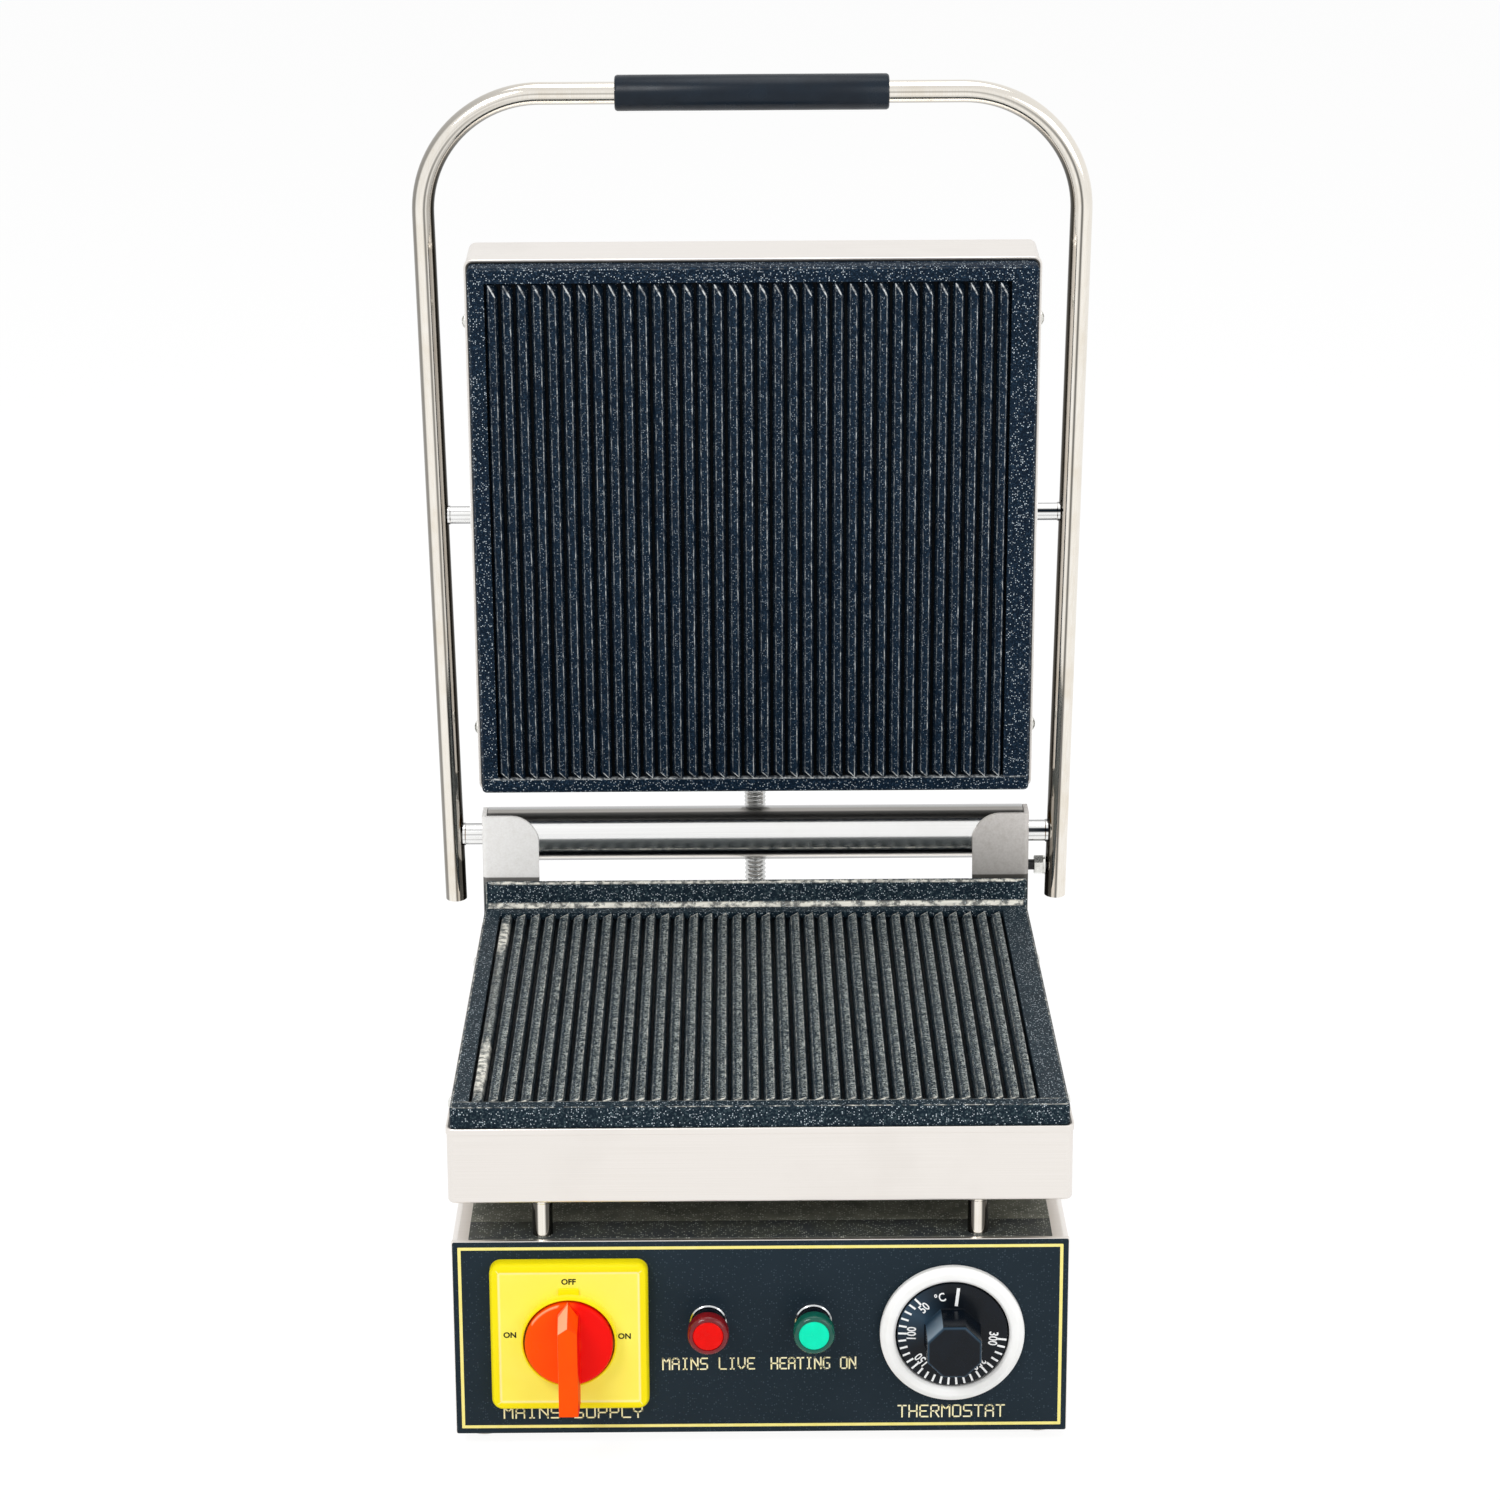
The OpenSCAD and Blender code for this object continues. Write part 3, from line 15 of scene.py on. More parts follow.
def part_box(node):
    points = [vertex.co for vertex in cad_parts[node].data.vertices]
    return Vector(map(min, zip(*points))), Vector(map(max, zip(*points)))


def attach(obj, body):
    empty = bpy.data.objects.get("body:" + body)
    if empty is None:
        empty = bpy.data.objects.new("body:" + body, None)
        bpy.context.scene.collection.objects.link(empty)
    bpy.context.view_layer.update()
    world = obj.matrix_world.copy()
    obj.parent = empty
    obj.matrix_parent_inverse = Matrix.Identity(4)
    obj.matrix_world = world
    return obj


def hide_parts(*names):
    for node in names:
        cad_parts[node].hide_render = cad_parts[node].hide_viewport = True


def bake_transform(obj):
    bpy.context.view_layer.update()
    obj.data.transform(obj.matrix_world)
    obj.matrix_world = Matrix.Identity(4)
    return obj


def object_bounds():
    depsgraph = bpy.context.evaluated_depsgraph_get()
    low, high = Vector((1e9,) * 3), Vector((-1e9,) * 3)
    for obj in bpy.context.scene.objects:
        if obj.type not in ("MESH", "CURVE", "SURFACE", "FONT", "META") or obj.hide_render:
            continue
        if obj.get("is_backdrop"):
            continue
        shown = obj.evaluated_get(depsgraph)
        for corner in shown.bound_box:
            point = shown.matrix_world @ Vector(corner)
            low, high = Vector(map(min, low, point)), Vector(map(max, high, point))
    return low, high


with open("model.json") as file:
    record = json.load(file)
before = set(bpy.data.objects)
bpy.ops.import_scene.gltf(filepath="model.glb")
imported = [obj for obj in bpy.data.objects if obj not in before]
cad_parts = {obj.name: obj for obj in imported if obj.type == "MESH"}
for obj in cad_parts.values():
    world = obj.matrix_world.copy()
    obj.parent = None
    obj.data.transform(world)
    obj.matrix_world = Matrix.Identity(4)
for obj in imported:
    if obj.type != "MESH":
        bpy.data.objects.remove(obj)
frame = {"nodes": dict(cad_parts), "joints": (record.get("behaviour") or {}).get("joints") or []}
CAD_LOW, CAD_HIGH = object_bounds()
LOG = logging.getLogger("contact_grill")
MM = 0.001
JOINT_AT = {joint["name"]: Vector(joint["pos_m"]) / MM for joint in frame["joints"]}
# Slope at which one looks down on the grill; the dark streaks drawn on bars across it are painted
# reflections, placed for it.
LOOK_DOWN_DEG = 16.5
Tree = bpy.types.NodeTree
Node = bpy.types.Node
SocketValue = Union[float, tuple, bpy.types.NodeSocket, Node]
Outline = Sequence[tuple[float, float]]


# ---------------------------------------------------------------- small tools


def linear(hex_colour: str) -> tuple[float, float, float, float]:
    """Turns an sRGB hex colour into linear light.

    Args:
        hex_colour: the colour as "#rrggbb".

    Returns:
        Red, green, blue and an alpha of 1.
    """
    channels = [int(hex_colour[i : i + 2], 16) / 255 for i in (1, 3, 5)]
    curve = [c / 12.92 if c <= 0.04045 else ((c + 0.055) / 1.055) ** 2.4 for c in channels]
    return (curve[0], curve[1], curve[2], 1.0)


def box_mm(node: str) -> tuple[Vector, Vector]:
    """Gives a CAD node's lowest and highest corner in millimetres.

    Args:
        node: the node's name.

    Returns:
        The two corners.
    """
    low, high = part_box(node)
    return low / MM, high / MM


def middle_mm(node: str) -> Vector:
    """Middle of a CAD node's box in millimetres."""
    low, high = box_mm(node)
    return (low + high) / 2


def front_frame(x: float, y: float, z: float) -> Matrix:
    """Frame on a surface that faces the front: X right, Y up, Z out of the surface.

    Args:
        x: place of the origin across the grill, in mm.
        y: place of the surface, in mm.
        z: height of the origin, in mm.

    Returns:
        The frame as a matrix in millimetres.
    """
    return Matrix.Translation((x, y, z)) @ Matrix.Rotation(math.radians(90), 4, "X")


def side_frame(x: float, y: float, z: float, sign: float) -> Matrix:
    """Frame whose Z runs along the row's X axis.

    Args:
        x: place of the origin across the grill, in mm.
        y: place of the origin front to back, in mm.
        z: height of the origin, in mm.
        sign: 1 for Z towards +X, -1 for Z towards -X.

    Returns:
        The frame as a matrix in millimetres.
    """
    return Matrix.Translation((x, y, z)) @ Matrix.Rotation(math.radians(90 * sign), 4, "Y")


# ------------------------------------------------------------------ finishes


def add(tree: Tree, kind: str, *values: SocketValue, **named: object) -> Node:
    """Adds one shader node with its settings and links.

    Args:
        tree: the node tree.
        kind: the node's type without "ShaderNode", such as "TexNoise".
        values: what its sockets in use get, in their order: a constant, an output socket,
            or a node, which stands for its first output in use.
        named: the same by the socket's name, with _ for a space. A name in small letters
            is a setting of the node itself.

    Returns:
        The new node.
    """
    made = tree.nodes.new("ShaderNode" + kind)
    for name, value in named.items():
        if name.islower():
            setattr(made, name, value)
    given = list(zip([socket for socket in made.inputs if socket.enabled], values))
    given += [(made.inputs[name.replace("_", " ")], value)
              for name, value in named.items() if not name.islower()]
    for socket, value in given:
        if isinstance(value, Node):
            value = next(output for output in value.outputs if output.enabled)
        if isinstance(value, bpy.types.NodeSocket):
            tree.links.new(value, socket)
        else:
            socket.default_value = value
    return made


class Grain(Enum):
    """Direction that a surface was brushed, drawn or ground in, as its length to width in mm."""

    ALONG_X = (90.0, 0.35, 0.35)
    ALONG_Y = (0.35, 90.0, 0.35)
    ALONG_Z = (0.35, 0.35, 90.0)
    EVEN = (1.0, 1.0, 1.0)


@dataclass(frozen=True)
class Finish:
    """What every finish has: the record's slot, two close colours and a plain moulded surface."""

    name: str
    slot: str
    colour: str
    second: str
    roughness: float = 0.4
    spread: float = 0.08
    patch_mm: float = 20.0
    grain_mm: float = 0.6
    bump_mm: float = 0.02
    metallic: float = 0.0
    ior: float = 1.5
    specular: float = 0.5

    def coordinates(self, tree: Tree, size_mm: Sequence[float]) -> Node:
        """Row coordinates divided by a pattern's size.

        Args:
            tree: the material's tree.
            size_mm: size of one unit of the pattern along each axis.

        Returns:
            The node that gives them.
        """
        scale = tuple(1 / (MM * size) for size in size_mm)
        return add(tree, "Mapping", add(tree, "TexCoord").outputs["Object"], Scale=scale)

    def clouds(self, tree: Tree, size_mm: Sequence[float], detail: float = 3.0) -> Node:
        """Cloudy pattern of a real size.

        Args:
            tree: the material's tree.
            size_mm: size of its patches along each axis.
            detail: levels of finer detail.

        Returns:
            The node that gives the pattern, about 0.5 on average.
        """
        return add(tree, "TexNoise", self.coordinates(tree, size_mm), Scale=1.0, Detail=detail, Roughness=0.6)

    def grains(self, tree: Tree, size_mm: float, share: float) -> Node:
        """Separate round grains in some cells of a fine grid.

        Args:
            tree: the material's tree.
            size_mm: size of a cell.
            share: share of the cells that hold a grain.

        Returns:
            The node that gives 1 in a grain and 0 between them.
        """
        cells = add(tree, "TexVoronoi", self.coordinates(tree, [size_mm] * 3), Scale=1.0)
        near = add(tree, "MapRange", cells, 0.2, 0.42, 1, 0)
        pick = add(tree, "SeparateColor", cells.outputs["Color"])
        picked = add(tree, "MapRange", pick, share, share + 0.02, 1, 0)
        return add(tree, "Math", near, picked, operation="MULTIPLY")

    def coats(self, tree: Tree, under: SocketValue, *over: tuple[SocketValue, str]) -> Node:
        """Lays colours over one another.

        Args:
            tree: the material's tree.
            under: the lowest colour.
            over: share and hex colour of each colour over it, in their order.

        Returns:
            The node that gives the colour that shows.
        """
        for share, colour in over:
            under = add(tree, "Mix", share, under, linear(colour), data_type="RGBA")
        return under

    def rough(self, tree: Tree, pattern: Node, low: float = 0.3, high: float = 0.7) -> Node:
        """Roughness that rises and falls with a pattern, from its low to its high value."""
        return add(tree, "MapRange", pattern, low, high, self.roughness - self.spread,
                   self.roughness + self.spread)

    def shade(self, tree: Tree) -> dict[str, SocketValue]:
        """Patches of the two colours over a fine grain.

        Args:
            tree: the material's tree.

        Returns:
            Inputs of the Principled shader, and the relief as Height.
        """
        patches = self.clouds(tree, [self.patch_mm] * 3)
        grains = self.clouds(tree, [self.grain_mm] * 3, 4.0)
        mottle = add(tree, "MapRange", patches, 0.35, 0.65, 0, 1)
        colour = self.coats(tree, linear(self.colour), (mottle, self.second))
        return {"Base_Color": colour, "Roughness": self.rough(tree, patches), "Height": grains}

    def extras(self) -> dict[str, SocketValue]:
        """Constants of this finish's shader that the base class doesn't set."""
        return {}

    def material(self) -> bpy.types.Material:
        """Builds the material once and gives it.

        Returns:
            The material.
        """
        made = bpy.data.materials.get(self.name)
        if made:
            return made
        made = bpy.data.materials.new(self.name)
        made.use_nodes = True
        tree = made.node_tree
        tree.nodes.clear()
        inputs = self.shade(tree)
        relief = add(tree, "Bump", Height=inputs.pop("Height"), Distance=self.bump_mm * MM, Strength=1.0)
        shader = add(tree, "BsdfPrincipled", Metallic=self.metallic, IOR=self.ior, Normal=relief,
                     Specular_IOR_Level=self.specular, **self.extras(), **inputs)
        add(tree, "OutputMaterial", Surface=shader)
        return made


@dataclass(frozen=True)
class WorkedSteel(Finish):
    """Stainless or plated steel that was brushed, drawn or polished along one direction."""

    grain: Grain = Grain.ALONG_X
    smear: str = "#8d8780"
    smear_share: float = 0.35
    dark: str = "#1e1b13"
    metallic: float = 1.0

    def shade(self, tree: Tree) -> dict[str, SocketValue]:
        """Fine lines along the grain, soft smears of handling, and painted dark reflections and painted shade
        where the mesh is marked.

        Args:
            tree: the material's tree.

        Returns:
            Inputs of the Principled shader, and the relief as Height.
        """
        lines = self.clouds(tree, self.grain.value, 5.0)
        patches = self.clouds(tree, [self.patch_mm] * 3, 4.0)
        # The last coat is painted dark reflections on bars and painted shade in the trays' gaps, where the
        # mesh is marked.
        colour = self.coats(tree, linear(self.colour),
                            (add(tree, "MapRange", lines, 0.3, 0.7, 0, 1), self.second),
                            (add(tree, "MapRange", patches, 0.5, 0.75, 0, self.smear_share), self.smear),
                            (add(tree, "Attribute", attribute_name="reflection_and_shade").outputs["Fac"], self.dark))
        return {"Base_Color": colour, "Roughness": self.rough(tree, lines, 0.25, 0.75), "Height": lines}


@dataclass(frozen=True)
class ShadedSheet(WorkedSteel):
    """Sheet behind the hot casting: painted shade that darkens it towards its foot, and painted shadow below
    a line just above the casting's lip.
    """

    foot_mm: float = box_mm("lower_grill_plate")[1].z + 0.65
    shade_rise_mm: float = 31.0
    shade_share: float = 0.0
    shadow_line_mm: float = 0.5
    shadow_line_share: float = 0.85

    def shade(self, tree: Tree) -> dict[str, SocketValue]:
        """The bent sheet with painted shade towards its foot and painted shadow at it.

        Args:
            tree: the material's tree.

        Returns:
            Inputs of the Principled shader, and the relief as Height.
        """
        base = super().shade(tree)
        height = add(tree, "SeparateXYZ", self.coordinates(tree, [1.0] * 3)).outputs["Z"]
        # Painted shade that darkens the sheet towards its foot, and painted shadow on all below a line just
        # above the casting's lip.
        painted_shade = add(tree, "MapRange", height, self.foot_mm, self.foot_mm + self.shade_rise_mm, self.shade_share, 0)
        painted_shadow = add(tree, "MapRange", height, self.foot_mm, self.foot_mm + self.shadow_line_mm, self.shadow_line_share, 0)
        base["Base_Color"] = self.coats(tree, base["Base_Color"], (painted_shade, self.dark), (painted_shadow, self.dark))
        return base


@dataclass(frozen=True)
class SandCastIron(Finish):
    """Seasoned iron cast in sand: dark oil film, gritty skin and rubbed crests, with painted shade in the
    grooves, painted glints on grains and painted highlights on edges that are partly worn bare.
    """

    # Colour of the painted shade in the grooves between the ribs.
    deep: str = "#030507"
    worn: str = "#4c565c"
    fleck: str = "#5d7181"
    grain_glint: str = "#cfdbe3"
    bare_and_highlight: str = "#f0f3f2"
    fleck_mm: float = 0.7
    grain_glint_mm: float = 0.7
    grain_glint_share: float = 0.26

    def shade(self, tree: Tree) -> dict[str, SocketValue]:
        """Painted shade in the hollows, grit and painted glints on the skin, rubbed crests, and painted
        highlights on edges that are partly worn bare.

        Args:
            tree: the material's tree.

        Returns:
            Inputs of the Principled shader, and the relief as Height.
        """
        skin, crest, glint = (add(tree, "Attribute", attribute_name=mark).outputs["Fac"]
                              for mark in ("grit", "crest", "glint"))
        patches = self.clouds(tree, [self.patch_mm] * 3, 4.0)
        grit = self.clouds(tree, [self.grain_mm] * 3, 3.0)
        flecks = self.clouds(tree, [self.fleck_mm] * 3, 2.0)
        rubs = self.clouds(tree, [self.fleck_mm * 3] * 3, 4.0)
        mottle = add(tree, "MapRange", patches, 0.3, 0.7, 0, 1)
        iron = self.coats(tree, linear(self.colour), (mottle, self.second))
        # Painted shade: where the grit mark is low, in the grooves, the colour falls to the deep colour.
        raised = add(tree, "MapRange", skin, 0.0, 0.3, 0, 1)
        colour = add(tree, "Mix", raised, linear(self.deep), iron, data_type="RGBA")
        ragged = add(tree, "MapRange", rubs, 0.36, 0.6, 0.1, 1.0)
        rubbed = add(tree, "Math", crest, ragged, operation="MULTIPLY")
        tips = add(tree, "MapRange", flecks, 0.45, 0.55, 0.0, 1.0)
        # Painted glints on some grains of the skin.
        grains = self.grains(tree, self.grain_glint_mm, self.grain_glint_share)
        # Rubbed crests, flecks, painted glints on grains, and painted highlights on edges that are partly
        # worn bare.
        for share, over, shown in ((rubbed, tips, self.worn),
                                   (skin, add(tree, "MapRange", flecks, 0.5, 0.7, 0, 1), self.fleck),
                                   (skin, grains, self.grain_glint),
                                   (glint, add(tree, "MapRange", rubs, 0.42, 0.56, 0.2, 1.0), self.bare_and_highlight)):
            colour = self.coats(tree, colour, (add(tree, "Math", share, over, operation="MULTIPLY"), shown))
        return {"Base_Color": colour, "Roughness": self.rough(tree, grit), "Height": grit}


@dataclass(frozen=True)
class ShadeAndSheenMoulding(Finish):
    """Moulded plastic with painted shade, painted reflections and painted highlights where the mesh is
    marked.
    """

    painted_light_and_shade: str = "#ff1010"
    painted_highlight: str = "#ffd9c2"

    def shade(self, tree: Tree) -> dict[str, SocketValue]:
        """The plain moulding with its painted light-and-shade colour and its painted highlight where the mesh
        is marked.

        Args:
            tree: the material's tree.

        Returns:
            Inputs of the Principled shader, and the relief as Height.
        """
        base = super().shade(tree)
        over = [(add(tree, "Attribute", attribute_name=mark).outputs["Fac"], colour)
                for mark, colour in (("painted_light_and_shade", self.painted_light_and_shade), ("painted_highlight", self.painted_highlight))]
        base["Base_Color"] = self.coats(tree, base["Base_Color"], *over)
        return base


@dataclass(frozen=True)
class SpeckledCoat(Finish):
    """Powder coat or enamel with grains of another colour showing through."""

    speck: str = "#5d6a78"
    speck_mm: float = 0.9
    speck_level: float = 0.3
    speck_share: float = 0.5

    def shade(self, tree: Tree) -> dict[str, SocketValue]:
        """The plain coat with specks over it.

        Args:
            tree: the material's tree.

        Returns:
            Inputs of the Principled shader, and the relief as Height.
        """
        base = super().shade(tree)
        specks = self.grains(tree, self.speck_mm, self.speck_level)
        shows = add(tree, "Math", specks, self.speck_share, operation="MULTIPLY")
        base["Base_Color"] = self.coats(tree, base["Base_Color"], (shows, self.speck))
        return base


@dataclass(frozen=True)
class TintedLens(Finish):
    """Clear tinted plastic, lit from behind by its lamp."""

    glow: str = "#ff2010"
    glow_strength: float = 0.35

    def extras(self) -> dict[str, SocketValue]:
        """Light that comes through the lens, and a little see-through depth."""
        return {"Emission_Color": linear(self.glow), "Emission_Strength": self.glow_strength,
                "Subsurface_Weight": 0.2, "Subsurface_Scale": 0.002}


# -------------------------------------------------------------------- meshes


def arc_corners(points: Outline, radius: float, steps: int) -> list[tuple[float, float]]:
    """Rounds the corners of a flat closed line.

    Args:
        points: the line's points.
        radius: largest radius of a corner, made smaller where a side is too short for it.
        steps: pieces in each arc.

    Returns:
        The rounded line.
    """
    rounded: list[tuple[float, float]] = []
    for i, corner in enumerate(points):
        here = Vector(corner)
        back, ahead = Vector(points[i - 1]) - here, Vector(points[(i + 1) % len(points)]) - here
        reach = min(radius / math.tan(back.angle(ahead) / 2), back.length * 0.49, ahead.length * 0.49)
        start, end = here + back.normalized() * reach, here + ahead.normalized() * reach
        for k in range(steps + 1):
            t = k / steps
            spot = start * (1 - t) ** 2 + here * 2 * t * (1 - t) + end * t * t
            rounded.append((spot.x, spot.y))
    return rounded


def arc(radius: float, start: float, end: float, steps: int) -> list[tuple[float, float]]:
    """Points on a circle round the origin.

    Args:
        radius: its radius.
        start: first angle in degrees.
        end: last angle in degrees.
        steps: pieces between them.

    Returns:
        The points.
    """
    angles = [math.radians(start + (end - start) * k / steps) for k in range(steps + 1)]
    return [(radius * math.cos(a), radius * math.sin(a)) for a in angles]


def circle(radius: float, height: float, segments: int) -> list[Vector]:
    """Ring of points round the Z axis.

    Args:
        radius: its radius.
        height: its Z.
        segments: how many points.

    Returns:
        The points.
    """
    angles = [2 * math.pi * k / segments for k in range(segments)]
    return [Vector((radius * math.cos(a), radius * math.sin(a), height)) for a in angles]


def round_rectangle(width: float, length: float, radius: float, height: float, steps: int) -> list[Vector]:
    """Ring of points round a rectangle with rounded corners, centred on the Z axis.

    Args:
        width: its size along X.
        length: its size along Y.
        radius: its corner radius.
        height: its Z.
        steps: pieces in each corner.

    Returns:
        The points.
    """
    points = []
    radius = max(radius, 0.01)
    for quarter in range(4):
        sx, sy = (1, 1, -1, -1)[quarter], (-1, 1, 1, -1)[quarter]
        for k in range(steps + 1):
            a = math.radians(90 * (quarter - 1) + 90 * k / steps)
            points.append(Vector((sx * (width / 2 - radius) + radius * math.cos(a),
                                  sy * (length / 2 - radius) + radius * math.sin(a), height)))
    return points


@dataclass
class Shape:
    """A mesh being built, in millimetres, in a frame of its own."""

    points: list[Vector] = field(default_factory=list)
    faces: list[list[int]] = field(default_factory=list)
    marks: dict[str, dict[int, float]] = field(default_factory=dict)

    def mark(self, name: str, index: int, share: float) -> None:
        """Paints a share on a point, for a finish that reads marks of that name."""
        if share > 0:
            self.marks.setdefault(name, {})[index] = share

    def loft(self, rings: Sequence[Sequence[Vector]], caps: tuple[bool, bool] = (True, True)) -> "Shape":
        """Joins rings of equal length into a skin.

        Args:
            rings: the rings, in order.
            caps: whether the first and the last ring are closed with a face.

        Returns:
            This shape.
        """
        count = len(rings[0])
        starts = []
        for ring in rings:
            starts.append(len(self.points))
            self.points.extend(ring)
        for a, b in zip(starts, starts[1:]):
            self.faces.extend([a + k, a + (k + 1) % count, b + (k + 1) % count, b + k] for k in range(count))
        if caps[0]:
            self.faces.append([starts[0] + k for k in reversed(range(count))])
        if caps[1]:
            self.faces.append([starts[-1] + k for k in range(count)])
        return self

    def lathe(self, profile: Outline, segments: int, at: Matrix = Matrix()) -> "Shape":
        """Turns a profile round the Z axis of a frame.

        Args:
            profile: (radius, height) points, from one end of the solid to the other.
            segments: points round the axis.
            at: the frame.

        Returns:
            This shape.
        """
        rings = [[at @ p for p in circle(max(r, 0.001), h, segments)] for r, h in profile]
        return self.loft(rings)

    def ring_body(self, profile: Outline, segments: int, at: Matrix = Matrix()) -> "Shape":
        """Turns a closed profile round the Z axis of a frame, for a ring with a hole.

        Args:
            profile: (radius, height) points of the closed section.
            segments: points round the axis.
            at: the frame.

        Returns:
            This shape.
        """
        rings = [[at @ p for p in circle(r, h, segments)] for r, h in profile]
        return self.loft(rings + rings[:1], caps=(False, False))

    def band(self, width: float, length: float, radius: float, profile: Outline,
             at: Matrix = Matrix(), caps: tuple[bool, bool] = (True, True), steps: int = 5) -> "Shape":
        """Runs a profile round a rounded rectangle.

        Args:
            width: the rectangle's size along X.
            length: its size along Y.
            radius: its corner radius.
            profile: (distance out from the rectangle, height) points.
            at: the frame.
            caps: whether the ends are closed.
            steps: pieces in each corner.

        Returns:
            This shape.
        """
        rings = [[at @ p for p in round_rectangle(width + 2 * out, length + 2 * out, radius + out, h, steps)]
                 for out, h in profile]
        return self.loft(rings, caps)

    def sweep(self, path: Sequence[Vector], radius: Callable[[int], float], segments: int,
              across: Vector = Vector((1, 0, 0))) -> "Shape":
        """Runs a round section along a path.

        Args:
            path: the centre line.
            radius: gives the section's radius at each point.
            segments: points round the section.
            across: direction that is never parallel to the path.

        Returns:
            This shape.
        """
        rings = []
        for i, centre in enumerate(path):
            along = (path[min(i + 1, len(path) - 1)] - path[max(i - 1, 0)]).normalized()
            up = along.cross(across).normalized()
            side, r = up.cross(along), radius(i)
            rings.append([centre + side * r * math.cos(t) + up * r * math.sin(t)
                          for t in (2 * math.pi * k / segments for k in range(segments))])
        return self.loft(rings)

    def prism(self, outline: Outline, low: float, high: float, edge: float,
              at: Matrix) -> "Shape":
        """Raises a flat outline into a plate with rounded edges.

        Args:
            outline: its corners, counter-clockwise and convex.
            low: Z of the lower face.
            high: Z of the upper face.
            edge: radius of the edges of both faces.
            at: the frame.

        Returns:
            This shape.
        """
        count = len(outline)

        def ring(inset: float, height: float) -> list[Vector]:
            """Moves the outline in by inset."""
            moved = []
            for i in range(count):
                here = Vector(outline[i])
                before = (here - Vector(outline[i - 1])).normalized()
                after = (Vector(outline[(i + 1) % count]) - here).normalized()
                inward = Vector((-before.y - after.y, before.x + after.x)).normalized()
                share = max(0.5, inward.dot(Vector((-before.y, before.x))))
                spot = here + inward * inset / share
                moved.append(at @ Vector((spot.x, spot.y, height)))
            return moved

        rise = [(edge * (1 - math.sin(a)), edge * (1 - math.cos(a))) for a in (0, 0.52, 1.05, 1.5708)]
        rings = [ring(inset, low + up) for inset, up in rise]
        rings += [ring(inset, high - up) for inset, up in reversed(rise)]
        return self.loft(rings)

    def grid(self, xs: Sequence[float], ys: Sequence[float],
             height: Callable[[float, float], float]) -> list[list[int]]:
        """Adds a height field.

        Args:
            xs: places of the columns.
            ys: places of the rows.
            height: gives Z at a place.

        Returns:
            Point numbers by row.
        """
        rows = []
        for y in ys:
            start = len(self.points)
            self.points.extend(Vector((x, y, height(x, y))) for x in xs)
            rows.append(list(range(start, start + len(xs))))
        for lower, upper in zip(rows, rows[1:]):
            self.faces.extend([lower[k], lower[k + 1], upper[k + 1], upper[k]] for k in range(len(xs) - 1))
        return rows

    def block(self, points: Sequence[tuple], faces: Sequence[Sequence[int]], edge: float,
              marks: dict[int, tuple[str, float]]) -> "Shape":
        """Adds a closed block of flat faces and rounds all its edges.

        Args:
            points: its corners.
            faces: corner numbers of each face.
            edge: radius of the edges.
            marks: mark and share painted on a face, by its place in faces.

        Returns:
            This shape.
        """
        work = bmesh.new()
        corners = [work.verts.new(p) for p in points]
        for number, face in enumerate(faces):
            work.faces.new([corners[i] for i in face]).material_index = number + 1
        bmesh.ops.recalc_face_normals(work, faces=work.faces)
        bmesh.ops.bevel(work, geom=list(work.edges), offset=edge, segments=2, profile=0.5, material=0,
                        affect="EDGES")
        mesh = bpy.data.meshes.new("block")
        work.to_mesh(mesh)
        work.free()
        first = len(self.points)
        self.add_mesh(mesh, Matrix())
        for face in mesh.polygons:
            name, share = marks.get(face.material_index - 1, ("", 0.0))
            for index in face.vertices:
                self.mark(name, first + index, share)
        bpy.data.meshes.remove(mesh)
        return self

    def add_mesh(self, mesh: bpy.types.Mesh, at: Matrix) -> "Shape":
        """Adds a Blender mesh that is in millimetres.

        Args:
            mesh: the mesh.
            at: where it goes.

        Returns:
            This shape.
        """
        start = len(self.points)
        self.points.extend(at @ v.co for v in mesh.vertices)
        self.faces.extend([start + i for i in p.vertices] for p in mesh.polygons)
        return self

    def place(self, name: str, finish: Finish, body: str, replaces: Iterable[str] = (), at: Matrix = Matrix(),
              sharp: float = 35.0, ride: bool = True) -> bpy.types.Object:
        """Makes the piece, dresses it and lets it ride on a body.

        Args:
            name: the piece's name.
            finish: its finish.
            body: the CAD body that it moves with.
            replaces: CAD nodes that it stands for.
            at: frame that the points are in.
            sharp: edges over this angle stay sharp, in degrees.
            ride: False where the piece is left on no body.

        Returns:
            The piece.
        """
        mesh = bpy.data.meshes.new(name)
        work = bmesh.new()
        layers = {kind: work.verts.layers.float.new(kind) for kind in self.marks}
        corners = [work.verts.new(tuple(at @ p * MM)) for p in self.points]
        for kind, layer in layers.items():
            for index, share in self.marks[kind].items():
                corners[index][layer] = share
        for face in self.faces:
            spots = [corners[i] for i in face]
            if len(set(spots)) > 2 and not work.faces.get(spots):
                work.faces.new(spots)
        bmesh.ops.remove_doubles(work, verts=work.verts, dist=2e-6)
        bmesh.ops.recalc_face_normals(work, faces=work.faces)
        work.to_mesh(mesh)
        work.free()
        mesh.shade_smooth()
        mesh.set_sharp_from_angle(angle=math.radians(sharp))
        piece = bpy.data.objects.new(name, mesh)
        bpy.context.scene.collection.objects.link(piece)
        piece.data.materials.append(finish.material())
        if ride:
            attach(piece, body)
        if replaces:
            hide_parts(*replaces)
        LOG.info("built %s on %s", name, body)
        return piece


@dataclass(frozen=True)
class ReflectionBand:
    """Painted dark reflection drawn along a polished bar, placed from -1 to 1 across its width."""

    middle: float
    half: float
    depth: float

    def at(self, across: float) -> float:
        """How dark the painted reflection is at a place across the bar."""
        return self.depth * min(1.0, max(0.0, (self.half - abs(across - self.middle)) / 0.1 + 0.5))


